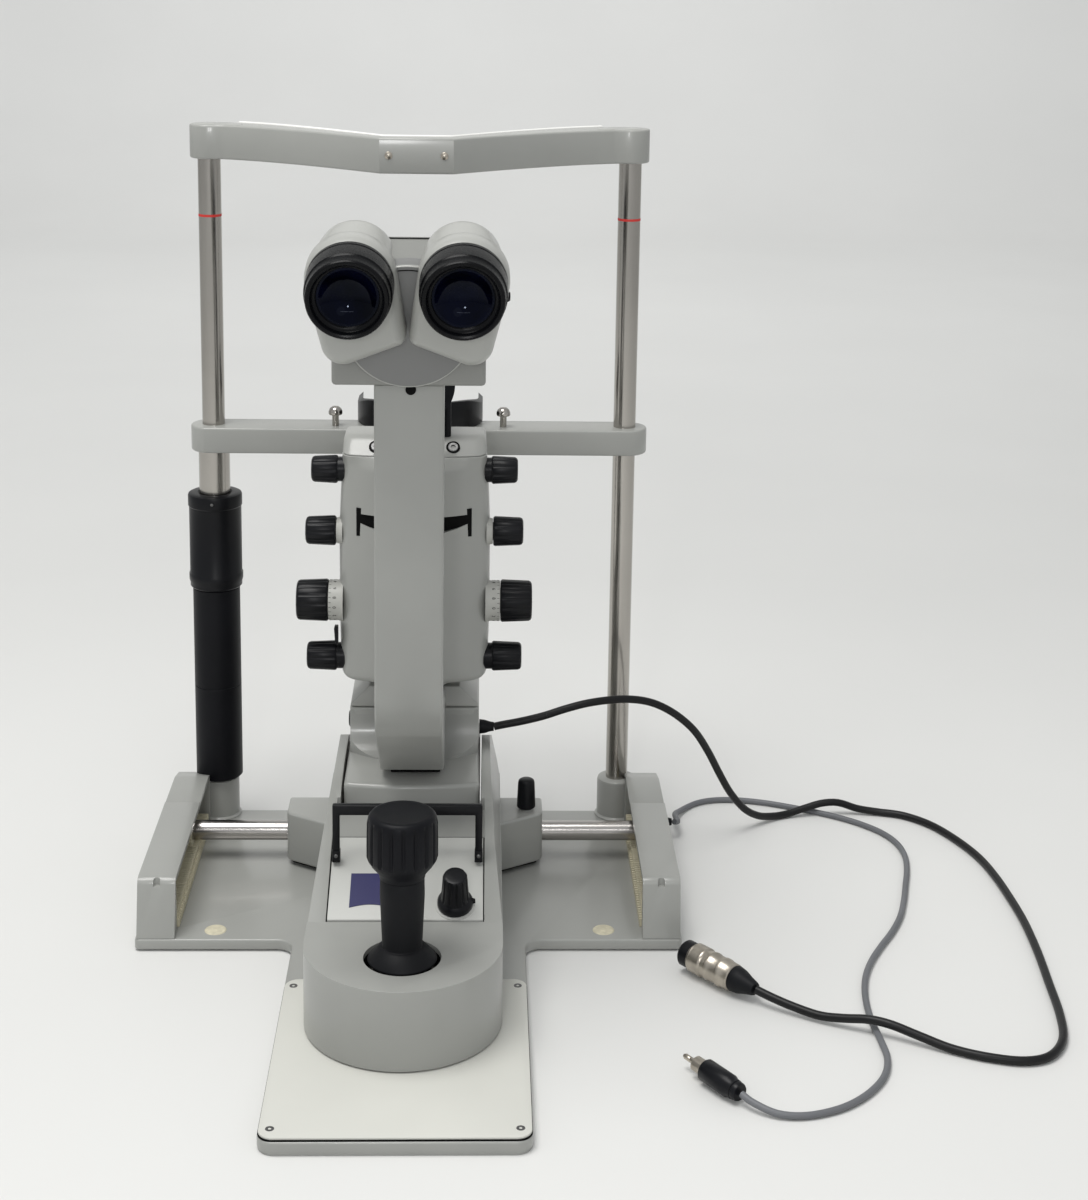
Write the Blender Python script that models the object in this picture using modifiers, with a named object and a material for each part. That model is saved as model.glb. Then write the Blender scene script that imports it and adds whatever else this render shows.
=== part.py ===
"""Slit lamp: headrest frame on a T-shaped base, cross-slide instrument base with joystick,
lift, binocular microscope on its arm, and slit illumination tower.

Metres, +Z up. The examiner sits on the -Y side, the patient on the +Y side. Sizes below are
written in millimetres in the column frame, whose origin is midway between the two headrest
columns; the object's own origin is the bottom centre of its bounding box.
"""

import math

import bmesh
import bpy
from mathutils import Matrix, Vector

MM = 0.001
GAP = 0.3                       # clearance between neighbouring solids
DATUM_Z = 4.4                   # heights are counted from this far below the table top
COLUMN_Y = 188.25               # the columns' place in the object's frame
ROUND = 24                      # sides of a large round piece
SMALL_ROUND = 14

# Base
BASE_HALF, BASE_FRONT, BASE_REAR = 168.0, -188.5, 4.0
BASE_TOP, BASE_UNDER = 12.2, 5.4
STEM_HALF, STEM_FRONT = 71.2, -406.5
PLATE_BACK, PLATE_FRONT, PLATE_TOP = -240.8, -405.2, 14.2
FOOT_X, FOOT_Y, FOOT_R = 130.0, -30.0, 11.0
COVER_IN, COVER_OUT, COVER_TOP = 143.6, 166.8, 47.8
COVER_SPLIT = -64.3
RACK_IN, RACK_OUT, RACK_ROOT, RACK_TIP = 144.4, 163.0, 18.6, 20.6
TOOTH = math.pi                 # pitch of a module 1 rack
PINION_TEETH = 22
SHAFT_Y, SHAFT_Z, SHAFT_R, SHAFT_HALF = -71.0, 31.0, 6.5, 157.0

# Headrest
COLUMN_X, COLUMN_R, COLUMN_TOP = 138.5, 7.5, 486.0
SOCKET_R, SOCKET_TOP = 13.4, 40.0
BAR_BOTTOM, BAR_TOP, BAR_END_R, BAR_BOW = 471.2, 493.4, 12.4, -84.0
CHIN_BOTTOM, CHIN_TOP, CHIN_DEPTH = 274.6, 292.0, 14.4
HANDLE_R, SLEEVE_R, LIFT_TUBE_R = 18.2, 15.9, 10.4
HANDLE_Z0, HANDLE_Z1, SLEEVE_Z0 = 178.5, 244.5, 41.0

# Instrument base
DRUM_Y, DRUM_R, DECK_Z = -288.8, 56.0, 62.0
HOUSING_Z0, HOUSING_REAR = 15.2, -48.0
PANEL_LOW, PANEL_HIGH = (-263.6, 62.0), (-205.0, 86.0)
CHEEK_TOP, CHEEK_TOP_HALF = 101.0, 49.0
SLOT_HALF, SLOT_FRONT, SLOT_FLOOR = 43.6, -161.5, 42.0
WING_HALF, WING_TOP, WING_REAR, WING_TIP, WING_ROOT = 84.2, 49.0, -58.0, -84.6, -101.0
STICK_Y, STICK_PIVOT_Z, STICK_HOLE_R = -305.5, 50.0, 21.6

# Lift, microscope and tower
AXIS_Y = -60.0                  # common vertical swing axis
LIFT_HALF, LIFT_FRONT, LIFT_BACK, LIFT_TOP = 42.8, -159.0, -50.0, 100.0
HEAD_Z1 = 128.4
ARM_HALF, ARM_FRONT, ARM_THICK = 20.0, -212.0, 20.0
BINO_Y, BINO_Z, BINO_TILT = -222.0, 410.0, math.radians(11)
EYE_X, EYE_UP = 31.0, 24.8
TOWER_HALF, TOWER_FRONT, TOWER_SIDE, TOWER_REAR = 47.6, -125.0, -107.0, -78.0
TOWER_Z0, TOWER_SEAM, TOWER_SLOPE, TOWER_TOP = 152.0, 298.6, 290.5, 314.0
KNOB_Y = -100.0
KNOBS = (                       # name, height, radius, inner and outer face
    ("filter_knobs", 287.0, 8.9, 48.2, 64.7),
    ("aperture_knobs", 247.0, 9.5, 49.6, 68.6),
    ("slit_width_knobs", 201.0, 13.5, 54.6, 74.6),
    ("slit_tilt_knobs", 164.0, 9.5, 49.4, 68.4),
)

# Cords
LAMP_CORD_R, SIGNAL_CORD_R = 2.55, 1.95
LAMP_EXIT = (51.8, -75.0, 106.0)
RISER_ROUTE = (LAMP_EXIT, (58, -75.3, 107.5), (70, -75.5, 110), (84, -74.5, 113.2))
SPAN_ROUTE = ((84.6, -74.4, 113.3), (98, -72, 117), (112, -69, 119.8), (126, -65, 120.6),
              (140, -60.5, 119.8), (154, -56, 116.5))
FLOOR_ROUTE = ((154.6, -55.8, 116.3), (166, -52, 110.5), (178, -47, 101), (189, -41, 88.5),
               (199, -33, 71), (207.8, -26, 52.7), (216.8, -20.1, 35.8), (227.8, -12.4, 20.8),
               (238.6, -3.8, 11.9), (249, 3.6, 8), (260.4, 9.1, 7.1), (274.3, 12.5, 10.2),
               (287.2, 14.6, 13.2), (299.1, 15.4, 13.2), (313, 15.3, 8.8), (328.9, 13, 7.1),
               (344.8, 7.1, 7.1), (360.3, -8.1, 7.1), (372.6, -31.6, 7.1), (382, -59.4, 7.1),
               (386.4, -87.3, 7.1), (388.5, -119, 7.1), (389.3, -153.8, 7.1),
               (387.5, -193.5, 7.1), (384, -233.2, 7.1), (380.5, -269.9, 7.1),
               (374.6, -297.7, 7.1), (362.7, -315.6, 7.1), (347.1, -321, 7.1),
               (327.9, -317.1, 7.1), (309, -308.6, 7.4), (292.2, -299.7, 10.2),
               (277.3, -292, 13), (265.4, -286.1, 13), (252.5, -280.2, 10.4),
               (239.6, -273.9, 8.6), (225.7, -266.1, 9.8), (213.7, -258.8, 11.8),
               (205.4, -252.8, 13.4))
SIGNAL_ROUTE = ((177.6, -26, 17), (180.5, -19.5, 14.6), (180.5, -0.9, 11.4), (184.9, 12, 8),
                (191.9, 23, 6.5), (201.8, 31.4, 6.5), (214.7, 35.4, 6.5), (230.6, 34.9, 6.5),
                (248.5, 30.4, 6.5), (266.4, 22.8, 6.5), (282.9, 14.4, 6.5), (298.1, 5.1, 6.5),
                (312, -6.3, 6.5), (323.9, -20.7, 6.5), (330.9, -37.6, 6.5),
                (332.5, -57.5, 6.5), (329.4, -79.3, 6.5), (324.2, -101.1, 6.5),
                (318.5, -124, 6.5), (311.5, -146.8, 6.5), (302.1, -167.7, 6.5),
                (291.7, -186.5, 6.5), (282.2, -205.4, 6.5), (274.8, -226.2, 6.5),
                (270.5, -250.1, 6.5), (269.3, -274.9, 6.5), (270.6, -297.7, 6.5),
                (270.6, -317.6, 6.5), (264.9, -336.4, 6.5), (252.5, -353.8, 6.5),
                (236.6, -366.7, 6.5), (217.7, -373.7, 6.5), (201.8, -373.2, 7.2),
                (189.4, -366.8, 9.6), (183.6, -360.7, 11.2))
CONNECTOR_DIR = Vector((-0.66, 0.751, 0.03)).normalized()
PLUG_DIR = Vector((-0.585, 0.811, 0.02)).normalized()

PALETTE = {                     # base colour, roughness, metallic
    "grey_paint": ((0.43, 0.44, 0.42), 0.42, 0.0),
    "light_panel": ((0.74, 0.75, 0.72), 0.40, 0.0),
    "black_plastic": ((0.018, 0.019, 0.022), 0.42, 0.0),
    "steel": ((0.58, 0.56, 0.53), 0.24, 1.0),
    "nickel": ((0.66, 0.62, 0.56), 0.30, 1.0),
    "cream_nylon": ((0.70, 0.66, 0.50), 0.5, 0.0),
    "white_strap": ((0.86, 0.86, 0.83), 0.6, 0.0),
    "rubber_black": ((0.02, 0.02, 0.022), 0.6, 0.0),
    "cable_grey": ((0.17, 0.18, 0.20), 0.5, 0.0),
    "glass": ((0.05, 0.06, 0.12), 0.05, 0.0),
}


# ---------------------------------------------------------------- scene and helpers

for old in list(bpy.data.objects):
    bpy.data.objects.remove(old, do_unlink=True)
parts = bpy.data.collections.new("slit_lamp")
bpy.context.scene.collection.children.link(parts)
materials = {}


def material(slot):
    if slot not in materials:
        colour, roughness, metallic = PALETTE[slot]
        made = bpy.data.materials.new(slot)
        made.use_nodes = True
        shader = made.node_tree.nodes["Principled BSDF"]
        shader.inputs["Base Color"].default_value = (*colour, 1)
        shader.inputs["Roughness"].default_value = roughness
        shader.inputs["Metallic"].default_value = metallic
        materials[slot] = made
    return materials[slot]


def place(point):
    """A column-frame point in millimetres as a world point in metres."""
    return Vector((point[0], point[1] + COLUMN_Y, point[2] - DATUM_Z)) * MM


def adopt(name, mesh, matrix=None):
    made = bpy.data.objects.new(name, mesh)
    parts.objects.link(made)
    if matrix is not None:
        made.matrix_world = matrix
    return made


def active(name):
    made = bpy.context.active_object
    made.name = name
    for holder in list(made.users_collection):
        holder.objects.unlink(made)
    parts.objects.link(made)
    return made


def baked(made):
    """The object with its modifiers applied and its transform written into its mesh."""
    bpy.context.view_layer.update()
    graph = bpy.context.evaluated_depsgraph_get()
    mesh = bpy.data.meshes.new_from_object(made.evaluated_get(graph))
    mesh.transform(made.matrix_world)
    shape = bmesh.new()
    shape.from_mesh(mesh)
    bmesh.ops.remove_doubles(shape, verts=shape.verts, dist=1e-6)
    bmesh.ops.recalc_face_normals(shape, faces=shape.faces)
    shape.to_mesh(mesh)
    shape.free()
    name = made.name
    bpy.data.objects.remove(made, do_unlink=True)
    return adopt(name, mesh)


def combine(body, tool, operation):
    """body with tool added to it, cut from it, or shared with it."""
    body, tool = baked(body), baked(tool)
    step = body.modifiers.new("boolean", "BOOLEAN")
    step.operation = operation
    step.object = tool
    made = baked(body)
    bpy.data.objects.remove(tool, do_unlink=True)
    return made


def add(body, tool):
    return combine(body, tool, "UNION")


def cut(body, tool):
    return combine(body, tool, "DIFFERENCE")


def bevel(made, width, segments=2, angle=35):
    step = made.modifiers.new("bevel", "BEVEL")
    step.width = width * MM
    step.segments = segments
    step.angle_limit = math.radians(angle)
    return made


def box(name, low, high):
    """A box between two opposite corners."""
    a, b = place(low), place(high)
    bpy.ops.mesh.primitive_cube_add(size=1, location=(a + b) / 2)
    made = active(name)
    made.scale = b - a
    return baked(made)


def rod(name, start, end, radius, sides=SMALL_ROUND, end_radius=None):
    """A cylinder, or a cone where end_radius differs, between two points."""
    a, b = place(start), place(end)
    top = radius if end_radius is None else end_radius
    bpy.ops.mesh.primitive_cone_add(
        vertices=sides, radius1=radius * MM, radius2=top * MM, depth=(b - a).length)
    made = active(name)
    made.rotation_mode = "QUATERNION"
    made.rotation_quaternion = Vector((0, 0, 1)).rotation_difference(b - a)
    made.location = (a + b) / 2
    return made


def turned(name, profile, origin, direction=(0, 0, 1), sides=ROUND):
    """A turned solid: (radius, height) pairs from its top down, closed on its axis."""
    points = [Vector((r * MM, 0, h * MM)) for r, h in profile]
    mesh = bpy.data.meshes.new(name)
    mesh.from_pydata(points, [(i, i + 1) for i in range(len(points) - 1)], [])
    made = adopt(name, mesh)
    screw = made.modifiers.new("turn", "SCREW")
    screw.steps = screw.render_steps = sides
    screw.use_merge_vertices = True
    screw.merge_threshold = 0.00001
    made.rotation_mode = "QUATERNION"
    made.rotation_quaternion = Vector((0, 0, 1)).rotation_difference(Vector(direction))
    made.location = place(origin)
    return baked(made)


def prism(name, outline, low, high, axis="Z"):
    """A flat outline extruded along an axis. Outline pairs are XY, XZ or YZ in order."""
    order = {"Z": lambda u, v, w: (u, v, w), "Y": lambda u, v, w: (u, w, v),
             "X": lambda u, v, w: (w, u, v)}[axis]
    n = len(outline)
    points = [place(order(u, v, w)) for w in (low, high) for u, v in outline]
    sides = [(i, (i + 1) % n, n + (i + 1) % n, n + i) for i in range(n)]
    mesh = bpy.data.meshes.new(name)
    mesh.from_pydata(points, [], [range(n)[::-1], range(n, 2 * n), *sides])
    return baked(adopt(name, mesh))


def arc(centre, radius, start, end, steps):
    """Points along a circle's arc, in degrees."""
    angles = [math.radians(start + (end - start) * i / steps) for i in range(steps + 1)]
    return [(centre[0] + radius * math.cos(a), centre[1] + radius * math.sin(a))
            for a in angles]


def rounded(low, high, radius, steps=4):
    """The outline of a rectangle with round corners."""
    corners = ((high[0], high[1], 0), (low[0], high[1], 90),
               (low[0], low[1], 180), (high[0], low[1], 270))
    outline = []
    for x, y, start in corners:
        inset = (x - math.copysign(radius, x - (low[0] + high[0]) / 2),
                 y - math.copysign(radius, y - (low[1] + high[1]) / 2))
        outline += arc(inset, radius, start, start + 90, steps)
    return outline


def tube(name, route, radius, spacing=2.6, resolution=2):
    """A cord: a POLY curve through points read from one smooth curve along the route."""
    guide = [place(p) for p in route]
    ends = [guide[0] * 2 - guide[1], *guide, guide[-1] * 2 - guide[-2]]
    fine = []
    for a, b, c, d in zip(ends, ends[1:], ends[2:], ends[3:]):
        for i in range(24):
            t = i / 24
            fine.append(0.5 * ((2 * b) + (c - a) * t + (2 * a - 5 * b + 4 * c - d) * t * t
                               + (3 * b - a - 3 * c + d) * t ** 3))
    fine.append(guide[-1])
    reach = [0.0]
    for a, b in zip(fine, fine[1:]):
        reach.append(reach[-1] + (b - a).length)
    count = max(4, round(reach[-1] / (spacing * 2 * radius * MM)))
    points, k = [], 0
    for n in range(count + 1):
        want = reach[-1] * n / count
        while k < len(reach) - 2 and reach[k + 1] < want:
            k += 1
        share = (want - reach[k]) / (reach[k + 1] - reach[k])
        points.append(fine[k].lerp(fine[k + 1], share))
    curve = bpy.data.curves.new(name, "CURVE")
    curve.dimensions = "3D"
    curve.bevel_depth = radius * MM
    curve.bevel_resolution = resolution
    curve.use_fill_caps = True
    line = curve.splines.new("POLY")
    line.points.add(len(points) - 1)
    for point, where in zip(line.points, points):
        point.co = (*where, 1)
    return baked(adopt(name, curve))


def finish(made, slot, smooth=True):
    """Gives a finished solid its material and its shading."""
    made = baked(made)
    made.data.materials.clear()
    made.data.materials.append(material(slot))
    if smooth:
        made.data.shade_smooth()
        made.data.set_sharp_from_angle(angle=math.radians(35))
    return made


def mirrored(x):
    return (-x, x)


# ---------------------------------------------------------------- base and cross slide

def base_plate():
    """The T-shaped casting, with two feet under its wide rear part."""
    fillet = 10
    right = [(BASE_HALF - 3, BASE_REAR), (BASE_HALF, BASE_REAR - 3),
             *arc((BASE_HALF - 3, BASE_FRONT + 3), 3, 0, -90, 3),
             *arc((STEM_HALF + fillet, BASE_FRONT - fillet), fillet, 90, 180, 5)]
    stem = arc((STEM_HALF - 9, STEM_FRONT + 9), 9, 0, -90, 5)
    left = [(-x, y) for x, y in reversed(right + stem)]
    plate = prism("base_plate", right + stem + left, BASE_UNDER, BASE_TOP)
    pad = prism("pad", rounded((0.3 - STEM_HALF, STEM_FRONT + 0.3), (STEM_HALF - 0.3, -205), 9),
                DATUM_Z, BASE_UNDER + 1)
    plate = add(plate, pad)
    for x in mirrored(FOOT_X):
        plate = add(plate, rod("foot", (x, FOOT_Y, DATUM_Z), (x, FOOT_Y, 8), FOOT_R))
    finish(plate, "grey_paint")


def slide_plate():
    """The laminate plate that the instrument base glides on."""
    plate = prism("slide_plate", rounded((-70.6, PLATE_FRONT), (70.6, PLATE_BACK), 8),
                  BASE_TOP + GAP, PLATE_TOP)
    finish(plate, "light_panel")


def side_name(x, what):
    return ("left_" if x < 0 else "right_") + what


def rail_cover(side):
    """A hood over one rack, open on its inner side and underneath."""
    low, high = sorted((side * COVER_IN, side * COVER_OUT))
    z0 = BASE_TOP + GAP
    outline = [(BASE_FRONT + 0.6, z0), (BASE_FRONT + 8.0, COVER_TOP - 3),
               (BASE_FRONT + 12, COVER_TOP), (COVER_SPLIT - GAP, COVER_TOP),
               (COVER_SPLIT - GAP, z0)]
    hood = prism(side_name(side, "rail_cover"), outline, low, high, "X")
    inner = sorted((side * (COVER_IN - 5), side * (COVER_OUT - 3)))
    hollow = box("hollow", (inner[0], BASE_FRONT + 12, z0 - 5),
                 (inner[1], COVER_SPLIT + 5, COVER_TOP - 3.2))
    finish(cut(hood, hollow), "grey_paint")


def column_bracket(side):
    """The rear casting: the hood's rear end with the round socket of the column."""
    low, high = sorted((side * COVER_IN, side * COVER_OUT))
    z0 = BASE_TOP + GAP
    outline = [(COVER_SPLIT, z0), (COVER_SPLIT, COVER_TOP), (-22, COVER_TOP),
               (-3, COVER_TOP - 4.5), (BASE_REAR - 1, COVER_TOP - 9), (BASE_REAR - 1, z0)]
    hood = prism(side_name(side, "column_bracket"), outline, low, high, "X")
    inner = sorted((side * (COVER_IN - 5), side * (COVER_OUT - 3)))
    hood = cut(hood, box("hollow", (inner[0], COVER_SPLIT - 5, z0 - 5),
                         (inner[1], -16, COVER_TOP - 3.2)))
    x = side * COLUMN_X
    boss = rod("boss", (x, 0, z0), (x, 0, SOCKET_TOP), SOCKET_R, ROUND)
    hood = add(hood, boss)
    if side < 0:
        hood = cut(hood, rod("sleeve_seat", (x, 0, SLEEVE_Z0 - GAP), (x, 0, COVER_TOP + 5),
                             SLEEVE_R + GAP, ROUND))
    bore = rod("bore", (x, 0, z0 + 3), (x, 0, COVER_TOP + 9), COLUMN_R + GAP, ROUND)
    finish(cut(hood, bore), "grey_paint")


def rack(side):
    """A module 1 rack lying on the base, teeth up."""
    x0, x1 = sorted((side * RACK_IN, side * RACK_OUT))
    start, end = -126.0, -18.6
    teeth = int((end - start) / TOOTH)
    outline = [(start, BASE_TOP + GAP)]
    phase = (SHAFT_Y - start) % TOOTH      # a gap sits under the axle's centre
    for i in range(teeth):
        y = start + phase + i * TOOTH
        if y < start + 0.4:
            continue
        if y + TOOTH > end - 0.4:
            break
        outline += [(y + 0.45, RACK_ROOT), (y + 1.05, RACK_TIP),
                    (y + TOOTH - 1.05, RACK_TIP), (y + TOOTH - 0.45, RACK_ROOT)]
    outline.insert(1, (start, RACK_ROOT))
    outline += [(end, RACK_ROOT), (end, BASE_TOP + GAP)]
    made = prism(side_name(side, "rack"), outline[::-1], x0, x1, "X")
    finish(made, "cream_nylon", smooth=False)


def pinion(side):
    """A 22-tooth wheel on the axle, in mesh with its rack."""
    root, tip = 10.0, 11.5
    pitch = 360 / PINION_TEETH
    outline = []
    for i in range(PINION_TEETH):
        a = -90 + i * pitch
        for turn, radius in ((-0.16, tip), (0.16, tip), (0.30, root), (0.70, root)):
            angle = math.radians(a + turn * pitch)
            outline.append((SHAFT_Y + radius * math.cos(angle),
                            SHAFT_Z + radius * math.sin(angle)))
    x0, x1 = sorted((side * 147.5, side * 155.5))
    wheel = prism(side_name(side, "pinion"), outline, x0, x1, "X")
    bore = rod("bore", (side * 140, SHAFT_Y, SHAFT_Z), (side * 165, SHAFT_Y, SHAFT_Z),
               SHAFT_R + GAP, 24)
    finish(cut(wheel, bore), "cream_nylon", smooth=False)


def cross_shaft():
    made = rod("cross_shaft", (-SHAFT_HALF, SHAFT_Y, SHAFT_Z),
               (SHAFT_HALF, SHAFT_Y, SHAFT_Z), SHAFT_R, 24)
    finish(bevel(made, 0.6, 1), "steel")


# ---------------------------------------------------------------- headrest

def columns():
    for x in mirrored(COLUMN_X):
        made = rod(side_name(x, "column"), (x, 0, BASE_TOP + GAP + 3.4),
                   (x, 0, COLUMN_TOP), COLUMN_R, ROUND)
        finish(made, "steel")


def bow(y_end, y_middle, flat, reach, steps=8):
    """Half the bowed line of the forehead rest, from its middle to a column."""
    points = []
    for i in range(steps + 1):
        t = i / steps
        ease = math.sin(math.pi * t / 2) * 0.45 + t * 0.55
        points.append((flat + (reach - flat) * t, y_middle + (y_end - y_middle) * ease))
    return points


def forehead_bar():
    """A bar bowed towards the examiner, its round ends clamped on the columns."""
    near = bow(-11.5, BAR_BOW, 23.0, COLUMN_X - 9)
    far = bow(11.5, BAR_BOW + 14.0, 21.0, COLUMN_X - 10)
    end = arc((COLUMN_X, 0), BAR_END_R, -100, 100, 10)
    right = near + end + far[::-1]
    outline = right + [(-x, y) for x, y in reversed(right)]
    bar = bevel(prism("forehead_bar", outline, BAR_BOTTOM, BAR_TOP), 1.0, 1, 50)
    for x in mirrored(COLUMN_X):
        bar = cut(bar, rod("bore", (x, 0, BAR_BOTTOM - 5), (x, 0, COLUMN_TOP + 0.6),
                           COLUMN_R + GAP, ROUND))
    finish(bar, "grey_paint")


def forehead_band():
    """The soft band on the patient's side of the bar."""
    near = bow(12.6, BAR_BOW + 14.6, 21.0, COLUMN_X - 18)
    far = [(x, y + 3.4) for x, y in near]
    right = near + far[::-1]
    outline = right + [(-x, y) for x, y in reversed(right)]
    band = prism("forehead_band", outline, BAR_BOTTOM + 1.2, BAR_TOP + 0.5)
    finish(band, "white_strap")


def chin_rest():
    """The bar that slides on both columns, with its cup."""
    r = 15.0
    outline = (arc((COLUMN_X, 0), r, -74, 74, 12) + [(128, CHIN_DEPTH), (-128, CHIN_DEPTH)]
               + arc((-COLUMN_X, 0), r, 106, 254, 12)
               + [(-128, -CHIN_DEPTH), (128, -CHIN_DEPTH)])
    bar = bevel(prism("chin_rest_bar", outline, CHIN_BOTTOM, CHIN_TOP), 1.0, 1, 50)
    for x in mirrored(COLUMN_X):
        bar = cut(bar, rod("bore", (x, 0, CHIN_BOTTOM - 5), (x, 0, CHIN_TOP + 5),
                           COLUMN_R + GAP, ROUND))
    finish(bar, "grey_paint")

    half, wall, z0 = 42.5, 3.0, CHIN_TOP + GAP
    outer = arc((0, 16.0), half, 180, 360, 16)
    cup = prism("chin_cup", [(half, 30), (-half, 30)] + outer, z0, z0 + 20)
    hollow = prism("hollow", [(half - wall, 60), (wall - half, 60)]
                   + arc((0, 16.0), half - wall, 180, 360, 16), z0 + wall, z0 + 60)
    cup = cut(cup, hollow)
    dip = turned("dip", [(0, 60), (30, 60), (30, 0), (0, 0)], (0, -40, z0 + 9.5),
                 (0, 0.35, 1), 24)
    finish(cut(cup, dip), "black_plastic")


def lift_column():
    """The sleeve, the turning handle and the inner tube that carry the chin rest."""
    x = -COLUMN_X
    bore = COLUMN_R + GAP
    inner = rod("lift_tube", (x, 0, 150), (x, 0, CHIN_BOTTOM - GAP), LIFT_TUBE_R, ROUND)
    inner = cut(inner, rod("bore", (x, 0, 140), (x, 0, 290), bore, ROUND))
    finish(inner, "steel")
    collar = turned("height_handle", [
        (0, HANDLE_Z1), (16.9, HANDLE_Z1), (HANDLE_R, HANDLE_Z1 - 1.3),
        (HANDLE_R, HANDLE_Z0 + 9), (17.5, HANDLE_Z0 + 8), (17.9, HANDLE_Z0 + 1),
        (16.9, HANDLE_Z0), (0, HANDLE_Z0)], (x, 0, 0), sides=ROUND)
    collar = cut(collar, rod("bore", (x, 0, 160), (x, 0, 260), LIFT_TUBE_R + GAP, ROUND))
    finish(collar, "black_plastic")
    sleeve = rod("handle_sleeve", (x, 0, SLEEVE_Z0), (x, 0, HANDLE_Z0 - GAP), SLEEVE_R,
                 ROUND)
    sleeve = cut(sleeve, rod("bore", (x, 0, 30), (x, 0, 190), LIFT_TUBE_R + GAP, ROUND))
    finish(bevel(sleeve, 0.8, 1, 60), "black_plastic")


# ---------------------------------------------------------------- instrument base

def drum_outline(inset=0.0, rear=HOUSING_REAR):
    """The D-shaped plan of the instrument base."""
    r = DRUM_R - inset
    return arc((0, DRUM_Y), r, 180, 360, 24) + [(r, rear), (-r, rear)]


def base_housing():
    """The D-shaped cover with its wings, its cheeks and the channel of the lift."""
    body = prism("base_housing", drum_outline(), HOUSING_Z0, DECK_Z)
    profile = [(PANEL_LOW[0] - 1, DECK_Z - 8), (PANEL_LOW[0] - 1, DECK_Z),
               (PANEL_HIGH[0] - 2, PANEL_HIGH[1] + 3.4), (-165, PANEL_HIGH[1] + 5.5),
               (-150, CHEEK_TOP - 4), (-120, CHEEK_TOP), (-78, CHEEK_TOP),
               (-62, CHEEK_TOP - 6), (HOUSING_REAR - 0.5, CHEEK_TOP - 30),
               (HOUSING_REAR - 0.5, DECK_Z - 8)]
    half = DRUM_R - 0.3
    hump = prism("hump", profile, -half, half, "X")
    for side in (-1, 1):
        slope = [(side * half, DECK_Z + 0.4), (side * CHEEK_TOP_HALF, CHEEK_TOP + 0.5),
                 (side * CHEEK_TOP_HALF, CHEEK_TOP + 20), (side * 90, CHEEK_TOP + 20),
                 (side * 90, DECK_Z + 0.4)]
        hump = cut(hump, prism("slope", slope, -300, 0, "Y"))
    body = add(body, hump)
    for side in (-1, 1):
        plan = [(side * 50, WING_REAR), (side * 50, WING_ROOT - 3.7), (side * (WING_HALF - 3), WING_TIP - 0.8),
                (side * WING_HALF, WING_TIP + 2.5), (side * WING_HALF, WING_REAR)]
        wing = prism("wing", plan if side > 0 else plan[::-1], HOUSING_Z0, WING_TOP)
        body = add(body, bevel(wing, 1.2, 1, 60))
    y0, z0 = PANEL_LOW
    y1, z1 = PANEL_HIGH
    seat = [(y0, z0 - 1.2), (y1 + 1, z1 - 0.8), (y1 + 1, z1), (SLOT_FRONT + 1, z1 - 1),
            (SLOT_FRONT + 1, 130), (y0 - 30, 130), (y0 - 30, z0 + 0.001), (y0, z0 + 0.001)]
    body = cut(body, prism("seat", seat, -45.4, 45.4, "X"))
    body = cut(body, box("channel", (-SLOT_HALF, SLOT_FRONT, SLOT_FLOOR),
                         (SLOT_HALF, HOUSING_REAR + 10, 140)))
    body = cut(body, prism("hollow", drum_outline(4.0, -172), 5, DECK_Z - 4))
    body = cut(body, rod("stick_hole", (0, STICK_Y, 40), (0, STICK_Y, 80), STICK_HOLE_R,
                         ROUND))
    body = cut(body, rod("axle_bore", (-120, SHAFT_Y, SHAFT_Z), (120, SHAFT_Y, SHAFT_Z),
                         SHAFT_R + GAP, 24))
    body = cut(body, rod("clamp_bore", (73.4, -77.5, 37.8), (73.4, -77.5, 70), 1.9, 12))
    finish(body, "grey_paint")


def chassis():
    """The plate that closes the housing, with the well of the joystick and the glide pad."""
    plate = prism("chassis_plate", drum_outline(4.4, -173), HOUSING_Z0 - 0.6, 19)
    well = rod("well", (0, STICK_Y, 17), (0, STICK_Y, DECK_Z - 4.4), 25.0, ROUND)
    plate = add(plate, well)
    hole = rod("well_bore", (0, STICK_Y, 22), (0, STICK_Y, 90), STICK_HOLE_R, ROUND)
    finish(cut(plate, hole), "black_plastic")


def control_panel():
    """The sloping panel plate with the hole of the lamp control."""
    y0, z0 = PANEL_LOW
    y1, z1 = PANEL_HIGH
    outline = [(y0 + 0.4, z0 - 0.5), (y1, z1 - 0.5), (y1, z1 + 1.1), (y0 + 0.4, z0 + 1.1)]
    plate = prism("control_panel", outline, -45.0, 45.0, "X")
    finish(plate, "light_panel")


def panel_frame():
    """A point on the panel under the lamp control, and the panel's normal."""
    slope = (PANEL_HIGH[1] - PANEL_LOW[1]) / (PANEL_HIGH[0] - PANEL_LOW[0])
    y = -253.0
    normal = Vector((0, -math.sin(math.atan(slope)), math.cos(math.atan(slope))))
    return Vector((28.5, y, PANEL_LOW[1] + 1.1 + slope * (y - PANEL_LOW[0]))), normal


def brightness_knob():
    point, normal = panel_frame()
    made = turned("brightness_knob", [
        (0, 24.4), (6.4, 24.4), (7.2, 23.4), (8.4, 6.0), (10.3, 4.0), (10.3, 0.6),
        (0, 0.6)], point, normal, 24)
    finish(made, "black_plastic")


def bail_handle():
    """The black hoop on the panel."""
    foot_y, foot_z, top = -224.0, 80.6, 116.5
    half = 44.0 - 2.1
    made = prism("bail_handle", [
        (-half - 2.1, foot_z), (-half + 2.1, foot_z), (-half + 2.1, top - 6.2),
        (half - 2.1, top - 6.2), (half - 2.1, foot_z), (half + 2.1, foot_z),
        (half + 2.1, top), (-half - 2.1, top)], foot_y - 2.1, foot_y + 2.1, "Y")
    finish(bevel(made, 0.6, 1), "black_plastic")


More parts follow.
